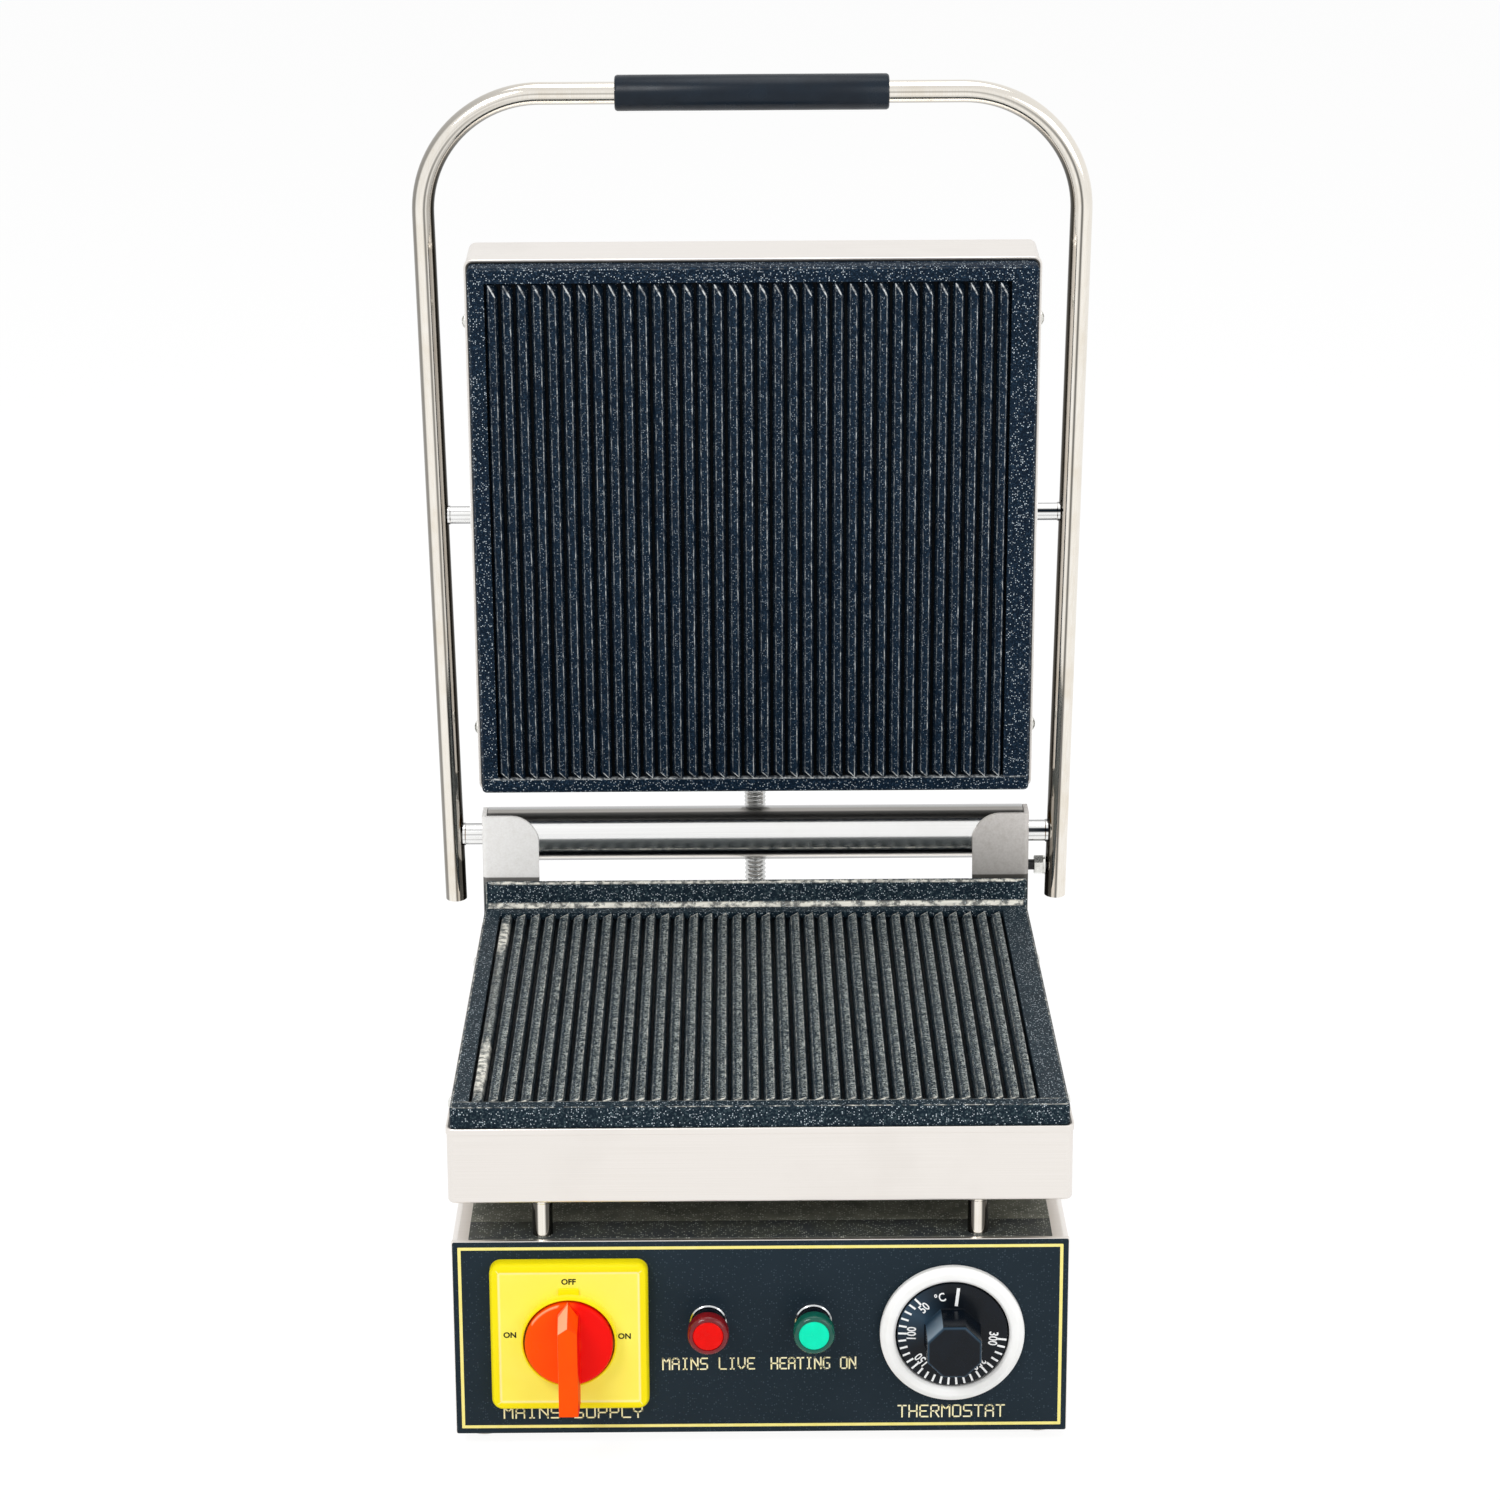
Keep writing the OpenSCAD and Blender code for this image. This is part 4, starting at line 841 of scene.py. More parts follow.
def darkest_reflection(reflections: Iterable[ReflectionBand], across: float) -> float:
    """How dark a bar with several painted reflections is at a place across it."""
    return max(reflection_and_shade.at(across) for reflection_and_shade in reflections)


def dress(finish: Finish, *nodes: str) -> None:
    """Gives CAD nodes that stay a finish.

    Args:
        finish: the finish.
        nodes: the nodes' names.
    """
    for name in nodes:
        node = frame["nodes"][name]
        node.data.materials.clear()
        node.data.materials.append(finish.material())
        LOG.info("dressed %s", name)


# Thin square capitals on a grid 4 wide and 6 high, as corner points of each stroke.
STROKES = {
    "A": [[(0, 0), (0, 5), (1, 6), (3, 6), (4, 5), (4, 0)], [(0, 3), (4, 3)]],
    "E": [[(4, 6), (0, 6), (0, 0), (4, 0)], [(0, 3), (3, 3)]],
    "G": [[(4, 6), (1, 6), (0, 5), (0, 1), (1, 0), (4, 0), (4, 3), (2.5, 3)]],
    "H": [[(0, 0), (0, 6)], [(4, 0), (4, 6)], [(0, 3), (4, 3)]],
    "I": [[(1, 6), (3, 6)], [(2, 6), (2, 0)], [(1, 0), (3, 0)]],
    "L": [[(0, 6), (0, 0), (4, 0)]],
    "M": [[(0, 0), (0, 6), (2, 4), (4, 6), (4, 0)]],
    "N": [[(0, 0), (0, 6), (4, 1), (4, 6)], [(4, 1), (4, 0)]],
    "O": [[(0, 0), (0, 6), (4, 6), (4, 0), (0, 0)]],
    "P": [[(0, 0), (0, 6), (4, 6), (4, 3), (0, 3)]],
    "R": [[(0, 0), (0, 6), (4, 6), (4, 3), (0, 3)], [(2, 3), (4, 0)]],
    "S": [[(4, 6), (0, 6), (0, 3), (4, 3), (4, 0), (0, 0)]],
    "T": [[(0, 6), (4, 6)], [(2, 6), (2, 0)]],
    "U": [[(0, 6), (0, 0), (4, 0), (4, 6)]],
    "V": [[(0, 6), (0, 2), (2, 0), (4, 2), (4, 6)]],
    "Y": [[(0, 6), (0, 4), (2, 3), (4, 4), (4, 6)], [(2, 3), (2, 0)]],
}


@dataclass
class Lettering:
    """Thin printed letters and numbers that lie on a surface.

    gap is the share of a letter's step that stays empty, and capital the typeface's share of capitals.
    """

    ink_mm: float = 0.06
    stroke_mm: float = 0.6
    bold_mm: float = 0.05
    gap: float = 0.3
    capital: float = 0.73

    def strokes(self, shape: Shape, word: str, width: float, height: float, at: Matrix) -> None:
        """Draws a word in square strokes, centred on the frame's origin.

        Args:
            shape: the shape to add it to.
            word: the word.
            width: its full width, in mm.
            height: height of its capitals, in mm.
            at: frame on the surface, with Z out of it.
        """
        letters = len(word) - self.gap
        step = width / letters
        wide = step * (1 - self.gap)
        for place, letter in enumerate(word):
            for line in STROKES.get(letter, []):
                left = (place - letters / 2) * step
                path = [Vector((left + x / 4 * wide, (y / 6 - 0.5) * height, 0)) for x, y in line]
                for a, b in zip(path, path[1:]):
                    self.bar(shape, a, b, at)

    def bar(self, shape: Shape, a: Vector, b: Vector, at: Matrix, width: float = 0.0) -> None:
        """Draws one straight stroke.

        Args:
            shape: the shape to add it to.
            a: its start.
            b: its end.
            at: frame on the surface.
            width: the stroke's width, or 0 for the usual one.
        """
        half = (width or self.stroke_mm) / 2
        along = (b - a).normalized() * half
        side = Vector((-along.y, along.x, 0))
        corners = [a - along - side, b + along - side, b + along + side, a - along + side]
        shape.loft([[at @ (c + Vector((0, 0, h))) for c in corners] for h in (-self.ink_mm, self.ink_mm)])

    def typed(self, shape: Shape, word: str, height: float, at: Matrix) -> None:
        """Draws a word in Blender's own typeface, centred on the frame's origin.

        Args:
            shape: the shape to add it to.
            word: the word.
            height: height of its capitals, in mm.
            at: frame on the surface, with Z out of it.
        """
        curve = bpy.data.curves.new("lettering", "FONT")
        curve.body = word
        curve.align_x, curve.align_y = "CENTER", "CENTER"
        curve.size = height / self.capital
        curve.extrude = self.ink_mm
        curve.offset = self.bold_mm
        curve.resolution_u = 3
        holder = bpy.data.objects.new("lettering", curve)
        bpy.context.scene.collection.objects.link(holder)
        bpy.context.view_layer.update()
        shape.add_mesh(bpy.data.meshes.new_from_object(holder.evaluated_get(
            bpy.context.evaluated_depsgraph_get())), at)
        bpy.data.objects.remove(holder)


# --------------------------------------------------------- finishes in use

# Cold-rolled stainless sheet, ground once along X: pale warm metal with a soft, wide shine.
SHEET = WorkedSteel("brushed_stainless_sheet", "stainless_sheet", "#eee9e4", "#e8e3dd", 0.34, 0.03, 60.0,
                    bump_mm=0.002, smear="#d3cdc6", smear_share=0.25)
# The same sheet where it was cut and bent, without a grain: dull, pale and faintly mottled, with painted
# shadow at its foot.
BENT_SHEET = ShadedSheet("matt_stainless_bracket", "stainless_sheet", "#fbfaf8", "#f1efec", 0.5, 0.06, 3.0,
                         bump_mm=0.003, metallic=0.0, grain=Grain.EVEN, smear="#dedad4", smear_share=0.25,
                         shade_share=0.05)
# The right bracket is a darker copy of the same sheet: painted shade, deepening from half its height down to
# its foot.
SHADED_SHEET = ShadedSheet("shaded_stainless_bracket", "stainless_sheet", "#e0dcd8", "#d2cdc8", 0.5, 0.06,
                            3.0, bump_mm=0.003, metallic=0.25, grain=Grain.EVEN, smear="#b9b2aa",
                            smear_share=0.4, shade_share=0.5)
# Drawn stainless rod and tube, polished round: sharp dark and bright streaks along its length, the dark ones
# painted reflections.
POLISHED = WorkedSteel("polished_stainless_tube", "polished_stainless", "#f6f6f5", "#eeeeed", 0.16, 0.03,
                       40.0, bump_mm=0.001, smear="#dedcd6", smear_share=0.3, dark="#141b22")
POLISHED_ARM = WorkedSteel("polished_stainless_arm", "polished_stainless", "#f1ede6", "#e6dfd3", 0.1, 0.03,
                           30.0, bump_mm=0.001, grain=Grain.ALONG_Z, smear="#cbb896", smear_share=0.35)
# Zinc plate over steel: cool grey metal with a slight bloom.
ZINC = WorkedSteel("zinc_plated_steel", "zinc_steel", "#eeeeea", "#deded8", 0.28, 0.08, 6.0,
                   bump_mm=0.005, grain=Grain.EVEN, smear="#a09e99")
# Blackened spring steel: dark oily metal.
SPRING = WorkedSteel("blackened_spring_steel", "spring_steel", "#3b3c3d", "#2a2b2c", 0.35, 0.08, 6.0,
                     bump_mm=0.006, grain=Grain.EVEN, smear="#4d4a45")
# Rolled metal hose: bright ridges with grey between them.
HOSE = WorkedSteel("nickel_plated_hose", "conduit_metal", "#dcdcda", "#c2c3c3", 0.2, 0.06, 12.0,
                   bump_mm=0.003, grain=Grain.EVEN, smear="#8f8f8c")
# Sand-cast iron with baked-on seasoning: grey-green rubbed ribs over painted shade in the hollows, painted
# glints on the skin's grains.
IRON = SandCastIron("seasoned_cast_iron", "cast_iron", "#0c1a24", "#13232e", 0.5, 0.12, 18.0, 0.7, 0.12,
                    specular=0.1, worn="#b9bfb9", fleck="#3c4c52", bare_and_highlight="#f1eee2", fleck_mm=1.2)
# The upper casting is used less: blue-black ribs with painted highlights along their thin edges.
UPPER_IRON = SandCastIron("seasoned_cast_iron_upper", "cast_iron", "#071523", "#0b1c2b", 0.5, 0.12, 18.0, 0.7,
                          0.12, specular=0.08, worn="#1b2e40", fleck="#263b4f")
# Powder-coated steel panel: even navy with a few pale grains.
PANEL = SpeckledCoat("navy_powder_coat", "panel_enamel", "#202c35", "#1d2931", 0.42, 0.05, 40.0, 0.5, 0.012,
                     specular=0.08, speck="#46545f", speck_mm=0.9, speck_level=0.25)
# Grey-green enamel on the heat shield: coarse pale grain under a dull film.
SHIELD = SpeckledCoat("speckled_shield_enamel", "shield_enamel", "#7d7f72", "#65675d", 0.5, 0.08, 12.0, 0.6,
                      0.03, specular=0.3, speck="#e6e7dc", speck_mm=1.0, speck_level=0.45, speck_share=0.7)
APRON = SpeckledCoat("black_apron_enamel", "shield_enamel", "#34383a", "#43463f", 0.35, 0.06, 12.0, 0.6, 0.02,
                     specular=0.3, speck="#c8ccc2", speck_mm=0.9, speck_level=0.35, speck_share=0.7)
# Screen-printed ink: flat pale yellow that stands a hair above the coat.
INK = Finish("printed_yellow_ink", "panel_enamel", "#f8eb92", "#f3e684", 0.55, 0.05, 5.0, 0.3, 0.003,
             specular=0.2)
LABEL_INK = Finish("printed_cream_ink", "panel_enamel", "#fff7d2", "#fbf0b4", 0.55, 0.05, 5.0, 0.3, 0.003,
                   specular=0.2)
BLACK_INK = Finish("printed_black_ink", "yellow_plastic", "#14130a", "#0f0e07", 0.5, 0.05, 5.0, 0.3, 0.003,
                   specular=0.2)
WHITE_INK = Finish("filled_white_figures", "black_plastic", "#ffffff", "#f6f8f8", 0.5, 0.05, 5.0, 0.3, 0.003)
# Moulded polycarbonate and nylon: even colour with a soft shine and a faint orange-peel skin; marked parts
# get painted shade and painted highlights.
YELLOW = ShadeAndSheenMoulding("moulded_yellow_plastic", "yellow_plastic", "#fff163", "#fdee58", 0.32, 0.05, 30.0,
                       0.8, 0.006, specular=0.15, painted_light_and_shade="#f7e60a", painted_highlight="#fffcc8")
ORANGE = ShadeAndSheenMoulding("moulded_orange_plastic", "orange_plastic", "#ff5500", "#fb4f00", 0.3, 0.05, 20.0, 0.8,
                       0.006, specular=0.08, painted_light_and_shade="#f2100a", painted_highlight="#ffb48c")
WHITE = Finish("moulded_white_plastic", "white_plastic", "#fafaf9", "#f5f5f3", 0.34, 0.06, 9.0, 0.8, 0.006)
BLACK = ShadeAndSheenMoulding("moulded_black_phenolic", "black_plastic", "#0a121b", "#080e15", 0.2, 0.05, 9.0, 0.7,
                      0.006, specular=0.2, painted_light_and_shade="#3a566c", painted_highlight="#b9c8d2")
GREY = Finish("moulded_grey_plastic", "grey_plastic", "#4a4d50", "#414447", 0.5, 0.06, 12.0, 0.8, 0.02)
NYLON = Finish("moulded_black_nylon", "black_nylon", "#232425", "#1c1d1e", 0.45, 0.06, 9.0, 0.6, 0.02)
GRIP = Finish("moulded_navy_grip", "navy_grip", "#16212c", "#111a24", 0.3, 0.06, 14.0, 0.7, 0.015,
              specular=0.2)
RUBBER = Finish("moulded_white_rubber", "white_rubber", "#e9e7e2", "#dcd9d3", 0.62, 0.06, 6.0, 0.7, 0.03)
# Steatite: matt cream ceramic, and mineral wool with loose fibres.
STEATITE = Finish("pressed_steatite", "ceramic", "#e6ddc8", "#d8cdb5", 0.6, 0.06, 6.0, 0.5, 0.03)
WOOL = Finish("needled_mineral_wool", "mineral_wool", "#d9cfa9", "#c3b88f", 0.95, 0.04, 5.0, 1.2, 0.5)
# Heater sheath, oxidised by heat; sensing bulb of drawn copper; sintered bronze with open pores.
SHEATH = WorkedSteel("oxidised_heater_sheath", "element_sheath", "#5a544e", "#463f3a", 0.5, 0.1, 12.0,
                     bump_mm=0.01, grain=Grain.EVEN, smear="#6d4f38")
COPPER = WorkedSteel("drawn_copper_bulb", "copper_bulb", "#c9794d", "#b5673e", 0.3, 0.08, 8.0,
                     bump_mm=0.004, grain=Grain.ALONG_Y, smear="#7c5236")
BRONZE = WorkedSteel("sintered_bronze_bush", "sintered_bronze", "#a8845a", "#8f6e48", 0.5, 0.1, 4.0,
                     bump_mm=0.02, grain=Grain.EVEN, smear="#6b5236")
COLLAR = WorkedSteel("nickel_lamp_collar", "lamp_collar", "#dfe1e2", "#c9ccce", 0.18, 0.05, 5.0,
                     bump_mm=0.002, grain=Grain.EVEN, smear="#a4a6a8")
# Tinted clear acrylic: a lit middle in a darker rim.
RED_LENS = TintedLens("red_acrylic_lens", "red_lens", "#e20d08", "#d80a06", 0.25, 0.04, 5.0, 0.8, 0.004,
                      specular=0.1, glow="#ff1006", glow_strength=0.1)
RED_RIM = TintedLens("red_acrylic_rim", "red_lens", "#6a0f16", "#7c1218", 0.1, 0.03, 5.0, 0.8, 0.003,
                     specular=0.4, glow="#8e0a10", glow_strength=0.05)
GREEN_LENS = TintedLens("green_acrylic_lens", "green_lens", "#0be0b4", "#0ad8ac", 0.25, 0.04, 5.0, 0.8, 0.004,
                        specular=0.1, glow="#00ffc8", glow_strength=0.1)
GREEN_RIM = TintedLens("green_acrylic_rim", "green_lens", "#0c4a40", "#10584a", 0.1, 0.03, 5.0, 0.8, 0.003,
                       specular=0.4, glow="#0a8c68", glow_strength=0.05)


# ------------------------------------------------------------ sub-assemblies


@dataclass
class BaseCabinet:
    """Sheet cabinet on four feet, with its printed front panel, heat shield and posts."""

    edge_r: float = 0.6
    foil_t: float = 0.2
    foil_side_in: float = 0.3
    foil_top_in: float = 0.5
    border_in: float = 2.5
    border_w: float = 1.3
    switch_word_z: float = 15.5
    lamp_word_z: float = 37.4
    dial_word_z: float = 15.2
    shield_drop: float = 0.7
    post_r: float = 4.25
    collar_r: float = 5.5
    collar_t: float = 1.3
    stud_r: float = 2.5
    reflections: tuple[ReflectionBand, ...] = (ReflectionBand(-0.75, 0.35, 0.9), ReflectionBand(0.72, 0.4, 0.9))
    lettering: Lettering = field(default_factory=Lettering)

    def build(self) -> None:
        """Builds and dresses the cabinet."""
        dress(SHEET, "base_shell", "base_cover")
        dress(RUBBER, "rubber_feet")
        dress(ZINC, "foot_screws", "post_nuts")
        self.front_panel()
        self.printing()
        self.heat_shield()
        self.posts()

    def panel_box(self) -> tuple[float, float, float, float]:
        """Width of the panel, its height, its middle height and the place of its front, in mm."""
        low, high = box_mm("front_panel")
        return high.x - low.x, high.z - low.z, (low.z + high.z) / 2, low.y

    def front_panel(self) -> None:
        """Steel panel with rounded edges, and the navy coat on its face."""
        width, height, middle, front = self.panel_box()
        low, high = box_mm("front_panel")
        thick, r = high.y - low.y, self.edge_r
        rounding = [(-r, 0.0), (-r * 0.3, -r * 0.1), (0.0, -r)]
        edge = [(0.0, -thick)] + rounding[::-1]
        sheet = Shape().band(width, height, r, edge, front_frame(0, front, middle))
        sheet.place("front_panel_sheet", SHEET, "base", ["front_panel"])
        foil_h = height - self.foil_top_in - self.foil_side_in
        foil_z = middle - (self.foil_top_in - self.foil_side_in) / 2
        foil = Shape().band(width - 2 * self.foil_side_in, foil_h, 0.8,
                            [(0, -0.3), (0, self.foil_t * 0.5), (-0.15, self.foil_t)],
                            front_frame(0, front, foil_z))
        foil.place("front_panel_coat", PANEL, "base")

    def printing(self) -> None:
        """Border line and the words under the controls."""
        width, height, middle, front = self.panel_box()
        face = front_frame(0, front - self.foil_t, middle)
        line = [(0, -0.05), (0, 0.05), (-self.border_w, 0.05), (-self.border_w, -0.05), (0, -0.05)]
        border = Shape().band(width - 2 * self.border_in, height - 2 * self.border_in - 0.4, 0.3, line,
                              face, (False, False))
        border.place("panel_border_print", INK, "base")
        words = Shape()
        lamp_x = middle_mm("green_lamp").x
        switch, dial = JOINT_AT["switch_turn"], JOINT_AT["thermostat_turn"]
        for word, x, z, wide, tall in (("MAINS SUPPLY", switch.x + 0.7, self.switch_word_z, 57.5, 4.5),
                                       ("MAINS LIVE", -lamp_x, self.lamp_word_z, 38.0, 4.9),
                                       ("HEATING ON", lamp_x, self.lamp_word_z, 35.0, 4.9),
                                       ("THERMOSTAT", dial.x, self.dial_word_z, 44.2, 5.1)):
            self.lettering.strokes(words, word, wide, tall, front_frame(x, front - self.foil_t, z))
        words.place("panel_words_print", LABEL_INK, "base")

    def heat_shield(self) -> None:
        """Enamelled shield on the base, with an apron that falls towards the panel."""
        low, high = box_mm("heat_shield")
        front = box_mm("base_shell")[0].y
        top, t = high.z, high.z - low.z
        xs = [low.x, high.x]
        side = [(low.y, top), (low.y + 0.6, top), (high.y, top), (high.y, top - t), (low.y, top - t)]
        sheet = Shape().loft([[Vector((x, y, z)) for y, z in side] for x in xs])
        sheet.place("heat_shield_sheet", SHIELD, "base", ["heat_shield"])
        fall = [(front + 0.4, top - self.shield_drop), (low.y + 0.3, top - 0.05), (low.y + 0.3, top - t),
                (front + 0.4, top - t)]
        apron = Shape().loft([[Vector((x, y, z)) for y, z in fall] for x in xs])
        apron.place("heat_shield_apron", APRON, "base")

    def posts(self) -> None:
        """Turned posts with a collar under the housing."""
        low, high = box_mm("support_posts")
        shell_top, under = box_mm("base_shell")[1].z, box_mm("lower_housing")[0].z
        shape = Shape()
        profile = [(self.stud_r, low.z), (self.stud_r, shell_top), (self.post_r - 0.3, shell_top),
                   (self.post_r, shell_top + 0.3), (self.post_r, under - self.collar_t),
                   (self.collar_r - 0.3, under - self.collar_t), (self.collar_r, under - self.collar_t + 0.3),
                   (self.collar_r, under - 0.2), (self.collar_r - 0.3, under), (self.stud_r, under),
                   (self.stud_r, high.z)]
        for x in (low.x + self.collar_r, high.x - self.collar_r):
            for y in (low.y + self.collar_r, high.y - self.collar_r):
                start = len(shape.points)
                shape.lathe(profile, 72, Matrix.Translation((x, y, 0)))
                # Painted dark reflections along each post.
                for index in range(start, len(shape.points)):
                    across = (shape.points[index].x - x) / self.post_r
                    shape.mark("reflection_and_shade", index, darkest_reflection(self.reflections, across))
        shape.place("support_post_set", POLISHED_ARM, "base", ["support_posts"])


@dataclass
class RotarySwitch:
    """Square switch plate and its pointer knob."""

    plate_w: float = 65.4
    plate_t: float = 6.4
    plate_r: float = 4.7
    bevel: float = 1.6
    ring_in_r: float = 18.9
    ring_w: float = 0.9
    collar_h: float = 5.0
    relief: float = 0.8
    tab_w: float = 8.6
    tab_l: float = 3.4
    disc_r: float = 18.2
    disc_t: float = 7.0
    bar_w: float = 9.0
    bar_h: float = 13.0
    tip_l: float = 19.0
    neck_l: float = 8.5
    apex_l: float = 5.8
    flank_l: float = 5.1
    flank_drop: float = 10.1
    tail_l: float = 26.5
    knob_gap: float = 0.4
    capital_h: float = 2.5
    edge_r: float = 0.25

    def build(self) -> None:
        """Builds and dresses the switch."""
        spot, front = JOINT_AT["switch_turn"], box_mm("front_panel")[0].y
        self.plate(front_frame(spot.x, front, spot.z))
        self.knob(front_frame(spot.x, front - self.plate_t - self.knob_gap, spot.z))
        dress(GREY, "switch_body")
        dress(ZINC, "switch_shaft")

    def plate(self, at: Matrix) -> None:
        """Moulded plate with a bevelled rim, a ring round the knob and a tab above it.

        Args:
            at: frame on the panel under the knob.
        """
        b, t = self.bevel, self.plate_t
        w = self.plate_w - 2 * b
        rim = [(b, 0.0), (b, t - b - 0.6), (b - 0.25, t - b * 0.75), (b * 0.35, t - 0.15), (0.0, t),
               (-1.6, t), (-2.2, t - 0.35), (-3.0, t - 0.35)]
        shape = Shape().band(w, w, self.plate_r - b, rim, steps=8)
        ring_out = self.ring_in_r + self.ring_w
        shape.ring_body([(self.ring_in_r, t - 1), (self.ring_in_r, t + self.collar_h - 0.2),
                         (self.ring_in_r + 0.2, t + self.collar_h), (ring_out - 0.3, t + self.collar_h),
                         (ring_out, t + self.collar_h - 0.3), (ring_out, t - 1)], 96)
        tab = Matrix.Translation((0, self.ring_in_r + self.tab_l / 2, 0))
        shape.band(self.tab_w, self.tab_l, 0.8, [(0, t - 1), (0, t + self.relief - 0.3),
                                                 (-0.3, t + self.relief)], tab)
        # Painted shade on the rim, ring and tab, and a painted highlight just inside the rim.
        for index, p in enumerate(shape.points):
            outer = max(abs(p.x), abs(p.y)) > w / 2 - 2.0
            shape.mark("painted_light_and_shade", index, 1.0 if outer or p.z > t + 0.1 else 0.0)
            shape.mark("painted_highlight", index, 0.6 if not outer and max(abs(p.x), abs(p.y)) > w / 2 - 2.5 else 0.0)
        shape.place("switch_face_plate", YELLOW, "base", ["switch_plate"], at)
        words, lettering = Shape(), Lettering(bold_mm=0.1)
        for word, x, y in (("OFF", 0, 24.9), ("ON", -24.6, 1.2), ("ON", 22.8, 0.4)):
            lettering.typed(words, word, self.capital_h, at @ Matrix.Translation((x, y, t - 0.33)))
        words.place("switch_words_print", BLACK_INK, "base")

    def knob(self, at: Matrix) -> None:
        """Disc with a bar across it that ends in a three-sided arrow.

        Args:
            at: frame at the back of the knob.
        """
        r, t, half = self.disc_r, self.disc_t, self.bar_w / 2
        shape = Shape().lathe([(r - 0.4, 0), (r, 0.4), (r, t - 1.1), (r - 0.3, t - 0.4), (r - 1.0, t),
                               (r * 0.66, t), (r * 0.33, t), (0.05, t)], 96)
        # Painted shade on the disc's right half, and a painted highlight in a crescent on its upper-left rim.
        for index, p in enumerate(shape.points):
            shape.mark("painted_light_and_shade", index, min(1.0, max(0.0, p.x / 4)))
            angle = math.degrees(math.atan2(p.y, p.x))
            if r - 0.5 < p.xy.length < r - 0.2 and p.z > t - 0.6 and 105 < angle < 150:
                shape.mark("painted_highlight", index, 0.85)
        top, flat, foot, tip = t + self.bar_h, half - 0.5, self.collar_h + 0.6, self.tip_l
        tail, neck, apex = -self.tail_l, tip - self.neck_l, tip - self.apex_l
        side, side_z, tip_z = tip - self.flank_l, top - self.flank_drop, t + 0.6
        points = [(-flat, tail + 0.3, top), (flat, tail + 0.3, top), (flat, neck, top), (0, apex, top),
                  (-flat, neck, top), (flat + 0.2, side, side_z), (0, tip, tip_z),
                  (-flat - 0.2, side, side_z), (-half, tail, foot + 0.5), (half, tail, foot + 0.5),
                  (half, 0.3 - r, foot), (-half, 0.3 - r, foot), (half - 0.1, side, foot),
                  (0, tip, foot), (0.1 - half, side, foot)]
        faces = [(0, 1, 2, 3, 4), (0, 8, 9, 1), (1, 9, 10, 12, 5, 2), (0, 4, 7, 14, 11, 8), (3, 2, 5, 6),
                 (3, 6, 7, 4), (5, 12, 13, 6), (7, 6, 13, 14), (8, 11, 10, 9), (11, 14, 13, 12, 10)]
        # Painted shade on the bar's right side, right facet and right front face; painted highlights on its
        # left side, left facet and left front face.
        marks = {2: ("painted_light_and_shade", 1.0), 3: ("painted_highlight", 0.75), 4: ("painted_light_and_shade", 0.25), 5: ("painted_highlight", 0.9), 6: ("painted_light_and_shade", 1.0),
                 7: ("painted_highlight", 0.4)}
        shape.block(points, faces, self.edge_r, marks)
        shape.place("switch_pointer_knob", ORANGE, "switch_knob", ["switch_knob"], at, sharp=22)


@dataclass
class PilotLamps:
    """Two lit lenses in tinted caps, on black necks and bright collars."""

    stem_r: float = 6.0
    collar_r: float = 7.7
    collar_t: float = 2.0
    neck_r: float = 6.75
    neck_l: float = 7.5
    cap_r: float = 8.5
    cap_l: float = 6.0
    lens_r: float = 6.25
    dome: float = 1.0

    def build(self) -> None:
        """Builds both lamps and dresses what is behind them."""
        back, height = box_mm("lamp_bodies")[1].y, middle_mm("lamp_bodies").z
        front, t, r, neck = box_mm("front_panel")[0].y, self.collar_t, self.collar_r, self.neck_r
        collars, necks = Shape(), Shape()
        for colour, cap, lens in (("red", RED_RIM, RED_LENS), ("green", GREEN_RIM, GREEN_LENS)):
            at = front_frame(middle_mm(colour + "_lamp").x, front, height)
            collars.lathe([(self.stem_r, front - back), (self.stem_r, 0), (r - 0.2, 0), (r, 0.2),
                           (r, t - 0.5), (r - 0.5, t), (neck, t)], 72, at)
            necks.lathe([(r - 0.55, t - 0.5), (r - 0.55, t + 0.06), (neck, t + 0.06),
                         (neck, t + self.neck_l)], 72, at)
            self.lamp(colour, cap, lens)
        collars.place("lamp_collar_set", COLLAR, "base", ["lamp_bodies"])
        necks.place("lamp_neck_set", BLACK, "base")
        dress(ZINC, "lamp_nuts")

    def lamp(self, colour: str, cap: Finish, lens: Finish) -> None:
        """Builds one lamp's cap and lens.

        Args:
            colour: start of the CAD node's name.
            cap: finish of the cap.
            lens: finish of the lens.
        """
        node = colour + "_lamp"
        at = front_frame(middle_mm(node).x, box_mm(node)[1].y, middle_mm(node).z)
        r, length, inner = self.cap_r, self.cap_l, self.lens_r
        body = Shape().lathe([(r - 0.4, 0), (r, 0.4), (r, length - 1.2), (r - 0.5, length - 0.35),
                              (r - 1.0, length), (inner + 0.2, length), (inner, length - 0.3),
                              (inner - 0.1, length - 1.5)], 72, at)
        body.place(node + "_cap", cap, "base")
        rim = length - 0.3
        face = [(inner * x, rim + self.dome * y) for x, y in arc(1.0, 0, 90, 8)]
        glass = Shape().lathe([(inner, length - 1.6)] + face[:-1] + [(0.05, rim + self.dome)], 72, at)
        glass.place(node + "_lens", lens, "base", [node])


